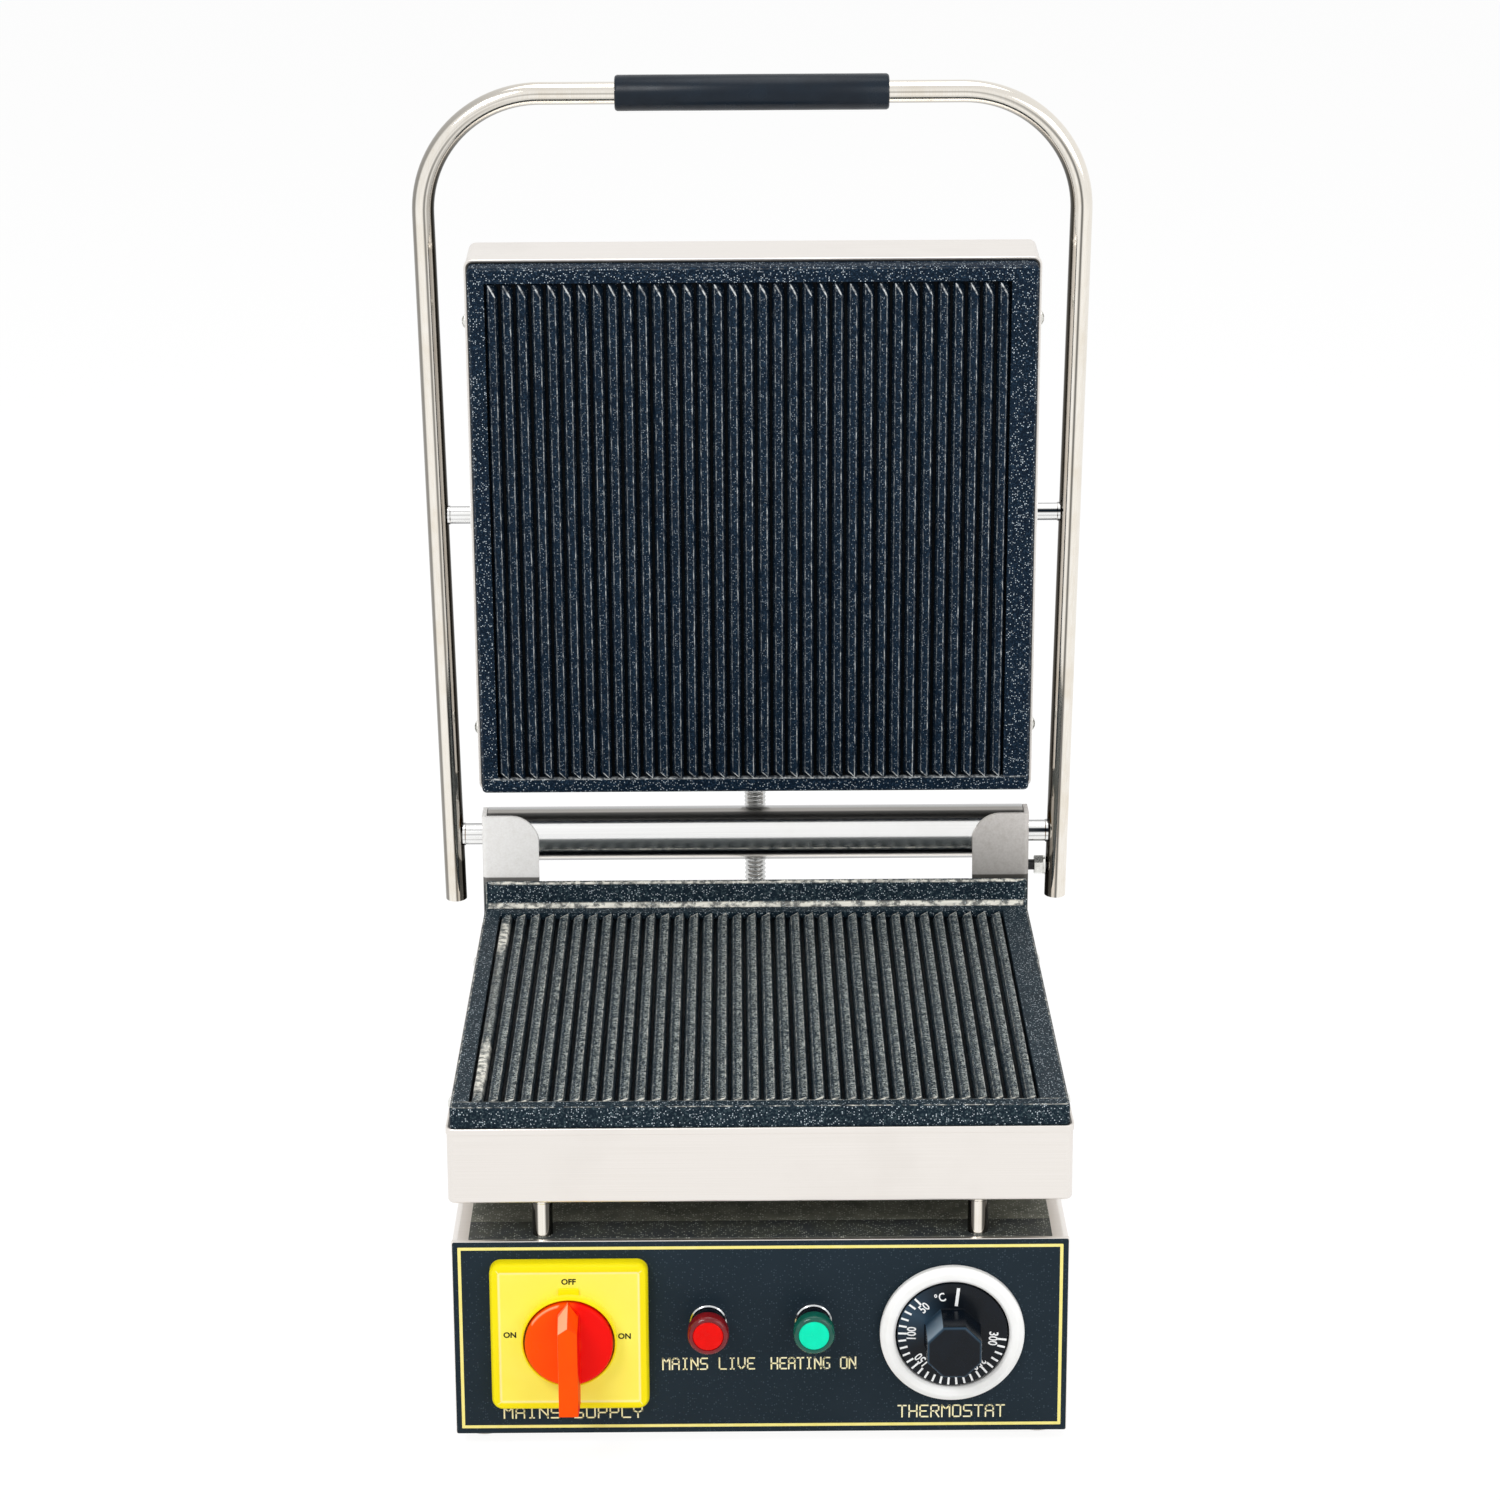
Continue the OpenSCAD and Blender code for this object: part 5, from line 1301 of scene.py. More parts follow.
@dataclass
class DialThermostat:
    """White ring with a numbered skirt and its eight-sided grip."""

    ring_out_r: float = 30.0
    ring_in_r: float = 23.6
    ring_t: float = 5.0
    skirt_r: float = 23.0
    skirt_t: float = 3.4
    grip_w: float = 22.5
    grip_h: float = 18.0
    dial_gap: float = 0.6
    step_deg: float = 44.0
    ticks_per_step: int = 5
    figure_h: float = 3.9
    figure_r: float = 16.8
    narrow: float = 0.78
    tick_r: float = 20.9
    tick_l: float = 2.4
    tick_w: float = 0.85
    off_deg: float = -6.5
    off_from: float = 13.6
    off_to: float = 20.4
    off_w: float = 1.3
    unit_deg: float = 17.5
    unit_r: float = 17.2
    reflection_deg: float = 150.0
    reflection_half: float = 55.0
    facet_deg: float = 135.0

    def build(self) -> None:
        """Builds the dial and dresses what is behind it."""
        spot, front = JOINT_AT["thermostat_turn"], box_mm("front_panel")[0].y
        self.ring(front_frame(spot.x, front, spot.z))
        at = front_frame(spot.x, front - self.dial_gap, spot.z)
        self.knob(at)
        self.figures(at)
        dress(ZINC, "thermostat_shaft")
        dress(STEATITE, "thermostat_body")

    def ring(self, at: Matrix) -> None:
        """Moulded ring with a rounded front.

        Args:
            at: frame on the panel.
        """
        out, hole, t = self.ring_out_r, self.ring_in_r, self.ring_t
        section = [(hole, 0), (out, 0), (out, t - 1.6), (out - 2.6, t), (hole + 1.0, t), (hole, t - 1.0)]
        profile = arc_corners(section, 1.2, 4)
        Shape().ring_body(profile, 128, at).place("dial_surround", WHITE, "base", ["dial_ring"], sharp=50)

    def knob(self, at: Matrix) -> None:
        """Skirt with an eight-sided grip.

        Args:
            at: frame at the back of the skirt.
        """
        r, t, top = self.skirt_r, self.skirt_t, self.skirt_t + self.grip_h
        rings: list[list[Vector]] = []
        shape = Shape().lathe([(r - 0.3, 0), (r, 0.3), (r, t - 0.8), (r - 0.25, t - 0.2), (r - 0.9, t),
                               (r * 0.8, t), (r * 0.6, t), (0.05, t)], 128)
        # Painted reflection: the skirt's face turns blue-grey towards its upper left.
        for index, p in enumerate(shape.points):
            away = abs((math.degrees(math.atan2(p.y, p.x)) - self.reflection_deg + 180) % 360 - 180)
            if p.z > t - 0.3 and p.length > 1:
                shape.mark("painted_light_and_shade", index, 0.6 * max(0.0, 1 - away / self.reflection_half) ** 1.5)
        half = 360 / 8 / 2
        corner = self.grip_w / 2 / math.cos(math.radians(half))
        for out, z in ((1.0, t - 0.5), (0.35, t + 0.25), (0.1, t + 1.0), (0.0, top - 1.2), (-0.35, top - 0.4),
                       (-1.2, top)):
            spots = arc(corner + out, half, 360 - half, 7)
            rings.append([Vector((x, y, z)) for x, y in arc_corners(spots, 0.9, 2)])
        first = len(shape.points)
        shape.loft(rings)
        # Painted highlights on the grip's top edge, and painted reflection on its upper-left facet with a
        # pale band near its top.
        for index in range(first, len(shape.points)):
            p = shape.points[index]
            if abs(p.z - top + 0.4) < 0.1:
                shape.mark("painted_light_and_shade", index, 0.6)
            elif p.z < top - 0.3 and abs(math.degrees(math.atan2(p.y, p.x)) - self.facet_deg) < half - 0.7:
                shape.mark("painted_light_and_shade", index, 1.0 if p.z > t + 2 else 0.4)
                shape.mark("painted_highlight", index, 0.35 if p.z > top - 2 else 0.0)
        shape.place("thermostat_dial", BLACK, "thermostat_knob", ["thermostat_knob"], at, sharp=24)

    def figures(self, at: Matrix) -> None:
        """Ticks, numbers and the mark of the off position on the skirt.

        Args:
            at: frame at the back of the skirt.
        """
        shape, lettering = Shape(), Lettering(0.05, bold_mm=0.09)
        face = at @ Matrix.Translation((0, 0, self.skirt_t))
        squeeze = Matrix.Diagonal((self.narrow, 1, 1, 1))
        for k in range(5 * self.ticks_per_step + 1):
            turn = face @ Matrix.Rotation(math.radians(self.step_deg * (1 + k / self.ticks_per_step)), 4, "Z")
            longer = 0.5 if k % self.ticks_per_step == 0 else 0.0
            lettering.bar(shape, Vector((0, self.tick_r - self.tick_l / 2 - longer, 0)),
                          Vector((0, self.tick_r + self.tick_l / 2, 0)), turn, self.tick_w)
            if k % self.ticks_per_step == 0:
                spot = turn @ Matrix.Translation((0, self.figure_r, 0)) @ squeeze
                lettering.typed(shape, str(50 * (1 + k // self.ticks_per_step)), self.figure_h, spot)
        off = face @ Matrix.Rotation(math.radians(self.off_deg), 4, "Z")
        lettering.bar(shape, Vector((0, self.off_from, 0)), Vector((0, self.off_to, 0)), off, self.off_w)
        unit = face @ Matrix.Rotation(math.radians(self.unit_deg), 4, "Z")
        lettering.typed(shape, "°C", self.figure_h, unit @ Matrix.Translation((0, self.unit_r, 0)) @ squeeze)
        shape.place("dial_figures", WHITE_INK, "thermostat_knob")


@dataclass
class GrillPlate:
    """Ribbed cast plate in its tray. Frame: crests on Z = 0, ribs along Y, the near end on Y = 0."""

    name: str
    body: str
    at: Matrix
    length: float
    far: float
    iron: Finish
    depth: float
    lip_h: float = 0.0
    lip_t: float = 4.5
    lip_fillet: float = 3.0
    width: float = 254.0
    border_left: float = 7.5
    border_end: float = 7.0
    pitch: float = 6.7
    count: int = 35
    crest: float = 3.2
    foot: float = 5.4
    rib_h: float = 3.5
    cut_side: int = 1
    worn_ribs: int = 0
    cut_far: float = 5.8
    cut_near: float = 3.2
    gap: float = 0.6
    rib_grit: float = 0.42
    rub_left: float = 0.3
    rub_right: float = 1.0
    edge_glint: float = 1.0
    rim_glint: float = 1.0
    corner_r: float = 2.1
    edge_r: float = 1.2
    full_t: float = 18.5
    show: float = 8.75
    fit: float = 0.2
    sheet_t: float = 1.2
    housing_r: float = 3.5
    bend_r: float = 1.6
    hem_h: float = 2.6
    hem_t: float = 0.4
    wobble: float = 0.16
    row_step: float = 3.0

    def build(self) -> None:
        """Builds the plate and its tray and dresses what is inside."""
        self.plate()
        self.housing()
        dress(ZINC, self.name + "_side_screws", self.name + "_clamp_screws", self.name + "_element_clamp")
        dress(SHEATH, self.name + "_heating_element")
        dress(WOOL, self.name + "_insulation")

    def across(self) -> list[tuple[float, float]]:
        """Half of a rib's section, from its crest to its groove.

        Returns:
            Distance from the rib's middle and height of each point.
        """
        c, f, h = self.crest / 2, self.foot / 2, self.rib_h
        return [(c * 0.36, 0.0), (c - 0.45, 0.0), (c - 0.12, -0.06), (c + 0.12, -0.42), (f - 0.12, 0.35 - h),
                (f + 0.15, -h)]

    def columns(self) -> list[float]:
        """Columns of the grid: borders, and both flanks and the middle of each rib.

        Returns:
            Their places across the plate, rising.
        """
        start, e = self.border_left - self.width / 2, self.corner_r
        span = self.count * self.pitch
        halves = [offset for offset, _ in self.across()]
        xs = [e - self.width / 2, start - 2.4, start - 0.12, start + 0.02]
        for i in range(self.count):
            middle = start + (i + 0.5) * self.pitch
            xs += [middle - offset for offset in reversed(halves)] + [middle]
            xs += [middle + offset for offset in halves]
        xs += [start + span - 0.02, start + span + 0.12, start + span + 3, start + span + 7]
        return xs + [self.width / 2 - e]

    def lip_profile(self) -> list[tuple[float, float]]:
        """Rear lip's section, with a hollow fillet at its foot.

        Returns:
            Place along the plate and height of each point.
        """
        front, r, h = self.length - self.lip_t, self.lip_fillet, self.lip_h
        hollow = [(front - r + x, r + z) for x, z in arc(r, -90, 0, 6)[:-1]]
        crown = [(front + 0.03, h - 0.9), (front + 0.3, h - 0.25), (front + 0.9, h)]
        return hollow + [(front - 0.02, r)] + crown

    def slants(self, reach: float) -> list[float]:
        """Rows where the slanted cut of a rib's end crosses the rib's columns.

        Args:
            reach: how far the cut reaches along the rib.

        Returns:
            Distances from the rib's end, rising.
        """
        c = self.crest / 2
        inner = [offset for offset, _ in self.across() if offset < c] + [c]
        signed = [-offset for offset in reversed(inner)] + [0.0] + inner
        return [reach * (offset + c) / (2 * c) for offset in signed]

    def rows(self) -> list[float]:
        """Rows of the grid: borders, the ribs' cut ends, even steps, and the lip's section.

        Returns:
            Their places along the plate, rising.
        """
        near, far = self.border_end, self.length - self.far
        ys = [self.corner_r, near - 2.5, near - 0.6, near - 0.12]
        ys += [near + v for v in self.slants(self.cut_near)]
        first, last = near + self.cut_near + 0.8, far - self.gap - self.cut_far - 0.8
        steps = int((last - first) / self.row_step)
        ys += [first + (last - first) * k / steps for k in range(steps + 1)]
        ys += [far - self.gap - v for v in reversed(self.slants(self.cut_far))]
        ys += [far - self.gap + 0.1, far - 0.02, far + 0.12]
        if self.lip_h:
            ys += [far + 2.5] + [y for y, _ in self.lip_profile()]
        return ys + [self.length - self.corner_r]

    def cut(self, off: float, y: float) -> tuple[float, float]:
        """How far a place lies beyond the slanted cuts of a rib's ends.

        Args:
            off: distance to the right of the rib's middle.
            y: place along the plate.

        Returns:
            The distance beyond the far cut and beyond the near cut, above 0 where the rib is cut away.
        """
        c, off = self.crest / 2, off * self.cut_side
        beyond_far = self.cut_far * (off + c) / (2 * c) - (self.length - self.far - self.gap - y)
        beyond_near = self.cut_near * (c - off) / (2 * c) - (y - self.border_end)
        return beyond_far, beyond_near

    def off_middle(self, x: float) -> float:
        """Distance of a column to the right of its rib's middle."""
        return (x + self.width / 2 - self.border_left) % self.pitch - self.pitch / 2

    def height(self, x: float, y: float) -> float:
        """Height of the plate's face.

        Args:
            x: place across the plate.
            y: place along it.

        Returns:
            The height, 0 on the crests.
        """
        profile = self.lip_profile() if self.lip_h else []
        if profile and y >= profile[0][0]:
            for (y0, z0), (y1, z1) in zip(profile, profile[1:]):
                if y <= y1:
                    return z0 + (z1 - z0) * (y - y0) / (y1 - y0)
            return self.lip_h
        start, far = self.border_left - self.width / 2, self.length - self.far
        if not start < x < start + self.count * self.pitch or not self.border_end - 0.01 < y < far:
            return 0.0
        off = self.off_middle(x)
        side = -self.rib_h
        line = [(0.0, 0.0)] + self.across()
        for (a, za), (b, zb) in zip(line, line[1:]):
            if abs(off) <= b:
                side = za + (zb - za) * (abs(off) - a) / (b - a)
                break
        if y > far - self.gap + 0.05:
            return -self.rib_h
        beyond_far, beyond_near = self.cut(off, y)
        slope = -self.rib_h * max(beyond_far / self.cut_far, beyond_near / self.cut_near, 0.0)
        return max(-self.rib_h, min(side, slope))

    def wear_and_light(self, shape: Shape, index: int) -> None:
        """Marks a point of the ribs for the iron's finish, with its wear, painted shade and painted
        highlights, and makes it a little uneven.

        Args:
            shape: the shape that holds the face.
            index: the point's number.
        """
        p = shape.points[index]
        off, c = self.off_middle(p.x), self.crest / 2
        grain = Vector((p.x * 0.45, p.y * 0.22, 3.0))
        rough = 0.45 + 1.3 * noise.noise(Vector((p.x * 1.9, p.y * 0.3, 8.0)))
        on_crest = p.z > -0.1
        near_crest, above_groove = p.z > -0.6, p.z > 0.1 - self.rib_h
        # Grit mark, which also sets the painted shade: none at the groove bottoms, a little on the flanks.
        shape.mark("grit", index, self.rib_grit if near_crest else 0.22 if above_groove else 0.0)
        if near_crest:
            shape.mark("crest", index, (self.rub_right if off > -0.1 else self.rub_left) if on_crest else 0.3)
        # Painted highlights along the crests' edges, brighter on the right, partly wear.
        if on_crest and abs(abs(off) - c + 0.12) < 0.05:
            side_share = 1.0 if off > 0 else 0.45
            shape.mark("glint", index, min(1.0, max(0.0, rough)) * side_share * self.edge_glint)
        # Painted highlight along the slanted cut at each rib's end.
        if on_crest and abs(off) < c and min(abs(v) for v in self.cut(off, p.y)) < 0.06:
            shape.mark("glint", index, 1.0)
        if near_crest and p.x < self.border_left - self.width / 2 + self.worn_ribs * self.pitch:
            along = (p.y - self.border_end) / (self.length - self.far - self.border_end)
            rubbed = max(1.0 - abs(along - 0.17) / 0.16, 0.75 - abs(along - 0.86) / 0.16, 0.0)
            ragged = noise.noise(Vector((p.x * 0.9, p.y * 0.12, 4.0)))
            shape.mark("glint", index, min(1.0, max(0.0, 2.2 * rubbed + ragged - 0.2)) if rubbed else 0.1)
        p.x += self.wobble * noise.noise(grain)
        p.z += self.wobble * 0.6 * noise.noise(grain + Vector((9, 4, 7)))

    def plate(self) -> None:
        """The casting: its ribbed face, rounded edge, sides and underside."""
        shape = Shape()
        rows = shape.grid(self.columns(), self.rows(), self.height)
        shape.faces = [part for a, b, c, d in shape.faces for part in (
            ([a, b, d], [b, c, d]) if self.cut_side > 0 else ([a, b, c], [a, c, d]))]
        near, far = self.border_end, self.length - self.far
        start = self.border_left - self.width / 2
        ribs = set()
        for row in rows:
            for index in row:
                p = shape.points[index]
                if near - 0.01 < p.y < far and start < p.x < start + self.count * self.pitch:
                    ribs.add(index)
                # Painted highlights, partly wear, along the near border's edge and on the lip's fillet and
                # top edge.
                elif abs(p.y - near) < 0.2:
                    shape.mark("glint", index, 0.6 + 0.8 * noise.noise(Vector((p.x * 0.7, p.y, 2.0))))
                elif self.lip_h and (0.05 < p.z < 1.9 or p.z > self.lip_h - 0.3):
                    shape.mark("glint", index, 0.9 + 0.3 * noise.noise(Vector((p.x * 0.1, p.z, 5.0))))
        for index in ribs:
            self.wear_and_light(shape, index)
        self.sides(shape, rows)
        for index in set(range(len(shape.points))) - ribs:
            shape.mark("grit", index, 1.0)
        replaced = [self.name + "_grill_plate"]
        shape.place(self.name + "_ribbed_plate", self.iron, self.body, replaced, self.at, sharp=50)

    def sides(self, shape: Shape, rows: list[list[int]]) -> None:
        """Rounds the face's edge over and closes the casting with its sides and underside.

        Args:
            shape: the shape that holds the face.
            rows: the face's point numbers by row.
        """
        edges = [(rows[0], -90), ([row[-1] for row in rows], 0), (rows[-1][::-1], 90),
                 ([row[0] for row in reversed(rows)], 180)]
        rim: list[tuple[Vector, Vector]] = []
        for side, angle in edges:
            for k in range(4):
                a = math.radians(angle - 90 + 22.5 * k)
                rim.append((shape.points[side[0]], Vector((math.cos(a), math.sin(a), 0))))
            a = math.radians(angle)
            rim += [(shape.points[index], Vector((math.cos(a), math.sin(a), 0))) for index in side]
        r, e = self.edge_r, self.corner_r
        rounding = [(0.0, 0.0), (e - r, 0.0), (e - 0.62 * r, -0.08 * r), (e - 0.29 * r, -0.29 * r),
                    (e - 0.08 * r, -0.62 * r), (e, -r)]
        rings = [[p + d * out + Vector((0, 0, down)) for p, d in rim] for out, down in rounding]
        rings.append([Vector((p.x + d.x * e, p.y + d.y * e, -self.full_t)) for p, d in rim])
        first = len(shape.points) + len(rim)
        shape.loft(rings, (False, True))
        # Painted highlights, partly wear, along the rounded top edge of the casting.
        for index in range(first + len(rim), first + 2 * len(rim)):
            p = shape.points[index]
            worn = 0.35 + 1.1 * noise.noise(Vector((p.x * 0.5, p.y * 0.5, 1.0)))
            shape.mark("glint", index, min(1.0, max(0.0, worn)) * self.rim_glint)

    def housing(self) -> None:
        """Deep-drawn tray round the casting, with a folded hem along its rim."""
        low, rim, wall, r = -self.show - self.depth, -self.show, self.sheet_t, self.bend_r
        bend = [(x - r, low + r + z) for x, z in arc(r, -90, 0, 6)]
        hem = [(0, rim - self.hem_h - 0.25), (self.hem_t, rim - self.hem_h), (self.hem_t, rim - 0.3),
               (self.hem_t - 0.25, rim), (-0.35, rim), (-0.6, rim), (-wall, rim), (-wall, low + wall)]
        span = 2 * (self.fit + self.sheet_t)
        shape = Shape().band(self.width + span, self.length + span, self.housing_r, bend + hem,
                             self.at @ Matrix.Translation((0, self.length / 2, 0)), steps=7)
        ring = len(shape.points) // len(bend + hem)
        # Painted shade on the hem's inner edge and the tray's inner wall, in the gap round the casting.
        for index in range(ring * (len(bend) + 5), len(shape.points)):
            shape.mark("reflection_and_shade", index, 0.9)
        shape.place(self.name + "_tray", SHEET, self.body, [self.name + "_housing"])


@dataclass
class HingeGroup:
    """Brackets, cross tube and springs behind the lower plate."""

    tube_r: float = 12.7
    wall: float = 1.5
    chamfer: float = 0.3
    reflections: tuple[ReflectionBand, ...] = (ReflectionBand(0.9, 0.12, 0.5), ReflectionBand(0.64, 0.16, 0.88), ReflectionBand(-0.5, 0.2, 0.15),
                                   ReflectionBand(-0.74, 0.1, 1.0), ReflectionBand(-0.99, 0.05, 0.9))

    def build(self) -> None:
        """Builds the tube and dresses the rest."""
        dress(BENT_SHEET, "left_bracket")
        dress(SHADED_SHEET, "right_bracket")
        dress(ZINC, "bracket_screws")
        dress(BRONZE, "hinge_bushes")
        dress(SPRING, "left_spring", "right_spring")
        low, high = box_mm("hinge_tube")
        r, c, length = self.tube_r, self.chamfer, high.x - low.x
        bore = r - self.wall
        profile = [(bore, 0), (r - c, 0), (r, c), (r, length - c), (r - c, length), (bore, length)]
        middle = (low + high) / 2
        shape = Shape().ring_body(profile, 180, side_frame(low.x, middle.y, middle.z, 1))
        turn = math.radians(LOOK_DOWN_DEG)
        # Painted dark reflections along the tube, placed for the slope one looks down at.
        for index, p in enumerate(shape.points):
            across = ((p.z - middle.z) * math.cos(turn) + (p.y - middle.y) * math.sin(turn)) / r
            shape.mark("reflection_and_shade", index, darkest_reflection(self.reflections, across))
        shape.place("hinge_cross_tube", POLISHED, "base", ["hinge_tube"])


@dataclass
class LiftHandle:
    """Bent round bar with its grip, shaft, pins and stop bolt. Frame: hinge axis on X, arms along Z."""

    bar_r: float = 5.0
    arm_lean: float = 2.5
    splay: float = 1.0
    bend_r: float = 53.0
    tail_l: float = 32.5
    grip_r: float = 8.0
    grip_l: float = 122.0
    chamfer: float = 1.2
    pin_r: float = 4.0
    pin_in: float = 12.0
    pin_head_r: float = 5.5
    bead_in: float = 0.9
    bead_h: float = 0.45
    bead_l: float = 1.9
    left_rod_reflections: tuple[ReflectionBand, ...] = (
        ReflectionBand(0.42, 0.02, 0.8), ReflectionBand(-0.03, 0.02, 0.8), ReflectionBand(-0.5, 0.03, 0.5), ReflectionBand(-0.98, 0.1, 0.9),
        ReflectionBand(0.99, 0.08, 0.8))
    right_rod_reflections: tuple[ReflectionBand, ...] = (
        ReflectionBand(0.55, 0.03, 0.7), ReflectionBand(0.08, 0.2, 1.0), ReflectionBand(-0.45, 0.04, 0.6), ReflectionBand(-0.95, 0.12, 0.9),
        ReflectionBand(0.99, 0.08, 0.8))
    right_arm_reflections: tuple[ReflectionBand, ...] = (
        ReflectionBand(0.85, 0.18, 0.95), ReflectionBand(0.5, 0.16, 0.2), ReflectionBand(0.0, 0.1, 0.85))
    left_arm_reflections: tuple[ReflectionBand, ...] = (
        ReflectionBand(-0.85, 0.22, 0.7), ReflectionBand(0.14, 0.1, 0.75), ReflectionBand(0.48, 0.14, 0.5), ReflectionBand(0.88, 0.2, 1.0))
    bar_reflections: tuple[ReflectionBand, ...] = (
        ReflectionBand(-0.1, 0.05, 0.6), ReflectionBand(0.32, 0.08, 0.3), ReflectionBand(0.95, 0.1, 0.7), ReflectionBand(-0.7, 0.3, 0.12))

    def build(self) -> None:
        """Builds the handle and dresses its hardware."""
        hinge = JOINT_AT["handle_hinge"]
        at = Matrix.Translation((0, hinge.y, hinge.z)) @ Matrix.Rotation(math.radians(self.arm_lean), 4, "X")
        self.bar(at)
        self.grip(at)
        self.cross_rods(at)
        dress(SPRING, "stop_bolt")
        dress(ZINC, "stop_nut", "stop_washer")

    def cross_rods(self, at: Matrix) -> None:
        """Hinge shaft and pivot pins, each with a weld bead where it meets an arm.

        Args:
            at: the handle's frame.
        """
        low, high = box_mm("hinge_shaft")
        reach = self.arm_x() - self.bar_r + self.bead_in
        shaft = self.rod(Shape(), at, -reach, reach, (high.z - low.z) / 2, (True, True))
        shaft.place("hinge_cross_shaft", POLISHED, "handle", ["hinge_shaft"])
        height = (at.inverted() @ JOINT_AT["plate_tilt"]).z
        reach = self.arm_x() + height * math.tan(math.radians(self.splay)) - self.bar_r + self.bead_in
        inner = box_mm("upper_housing")[1].x - self.pin_in
        pins, pin_at = Shape(), at @ Matrix.Translation((0, 0, height))
        for start, end, ends in ((-reach, -inner, (True, False)), (inner, reach, (False, True))):
            self.rod(pins, pin_at, start, end, self.pin_r, ends)
        pins.place("plate_pivot_pins", POLISHED, "handle", ["pivot_pins"])

    def rod(self, shape: Shape, at: Matrix, start: float, end: float, r: float,
            beads: tuple[bool, bool]) -> Shape:
        """Adds a turned rod along X with painted dark reflections along it, each end welded or with a head.

        Args:
            shape: the shape that gets the rod.
            at: frame of its axis.
            start: X of its left end.
            end: X of its right end.
            r: its radius.
            beads: whether the left and the right end are welded; an end that isn't has a head.

        Returns:
            The shape.
        """
        first, bead, length = len(shape.points), self.bead_h, self.bead_l
        weld = [(r - 0.4, 0.0), (r + bead, 0.5), (r + bead, length - 0.4), (r, length)]
        head = [(self.pin_head_r - 0.4, 0.0), (self.pin_head_r, 0.4), (self.pin_head_r, length), (r, length)]
        profile = (weld if beads[0] else head) + [(radius, end - start - z)
                                                  for radius, z in reversed(weld if beads[1] else head)]
        shape.lathe(profile, 96, at @ side_frame(start, 0.0, 0.0, 1))
        view, back = math.radians(LOOK_DOWN_DEG), at.inverted()
        # Painted dark reflections along the rod.
        for index in range(first, len(shape.points)):
            p = back @ shape.points[index]
            across = (p.z * math.cos(view) + p.y * math.sin(view)) / r
            reflections = self.left_rod_reflections if p.x < 0 else self.right_rod_reflections
            shape.mark("reflection_and_shade", index, darkest_reflection(reflections, across))
        return shape

    def reach(self) -> float:
        """Distance of the cross bar from the hinge axis."""
        away = middle_mm("cross_bar") - JOINT_AT["handle_hinge"]
        return away.yz.length

    def bend_from(self) -> float:
        """Distance along an arm from the hinge axis to its bend."""
        return self.reach() - self.bend_r * (1 + math.sin(math.radians(self.splay)))

    def arm_x(self) -> float:
        """Centre of the right arm at the hinge axis."""
        splay = math.radians(self.splay)
        return box_mm("right_arm")[1].x - self.bar_r / math.cos(splay) - self.bend_from() * math.tan(splay)

    def path(self) -> list[Vector]:
        """Centre line of the whole bar.

        Returns:
            Its points, from tail to tail.
        """
        splay, arm_x, bend_z, tail = math.radians(self.splay), self.arm_x(), self.bend_from(), self.tail_l
        lean = math.tan(splay)
        bend_x = arm_x + bend_z * lean - self.bend_r * math.cos(splay)
        half = [Vector((arm_x + z * lean, 0, z)) for z in (-tail, 0.35 - tail, 0.8 - tail, 0.0, bend_z * 0.5)]
        half += [Vector((bend_x + x, 0, self.reach() - self.bend_r + z))
                 for x, z in arc(self.bend_r, -self.splay, 90, 28)]
        return half + [Vector((-p.x, p.y, p.z)) for p in reversed(half)]

    def bar(self, at: Matrix) -> None:
        """One drawn bar, bent twice, with its ends cut square.

        Args:
            at: the handle's frame.
        """
        path = self.path()
        ends = {0: 0.45, 1: 0.06, len(path) - 2: 0.06, len(path) - 1: 0.45}
        segments, square = 96, Vector((0, 1, 0))
        shape = Shape().sweep(path, lambda i: self.bar_r - ends.get(i, 0.0), segments, square)
        # Painted dark reflections along the arms and the cross bar.
        for i, centre in enumerate(path):
            along = (path[min(i + 1, len(path) - 1)] - path[max(i - 1, 0)]).normalized()
            inward, upright = along.cross(square), abs(along.z)
            for index in range(i * segments, (i + 1) * segments):
                across = (shape.points[index] - centre).dot(inward) / self.bar_r
                arm = darkest_reflection(self.right_arm_reflections if centre.x > 0 else self.left_arm_reflections, across)
                shape.mark("reflection_and_shade", index, arm * upright + darkest_reflection(self.bar_reflections, across) * (1 - upright))
        shape.place("lift_handle_bar", POLISHED_ARM, "handle", ["left_arm", "right_arm", "cross_bar"], at)

    def grip(self, at: Matrix) -> None:
        """Moulded sleeve with chamfered ends.

        Args:
            at: the handle's frame.
        """
        r, c, length = self.grip_r, self.chamfer, self.grip_l
        profile = [(self.bar_r, 0), (r - c, 0), (r - 0.4 * c, 0.25 * c), (r, c), (r, length - c),
                   (r - 0.4 * c, length - 0.25 * c), (r - c, length), (self.bar_r, length)]
        shape = Shape().ring_body(profile, 72, side_frame(-length / 2, 0, self.reach(), 1))
        shape.place("handle_grip_sleeve", GRIP, "handle", ["handle_grip"], at)


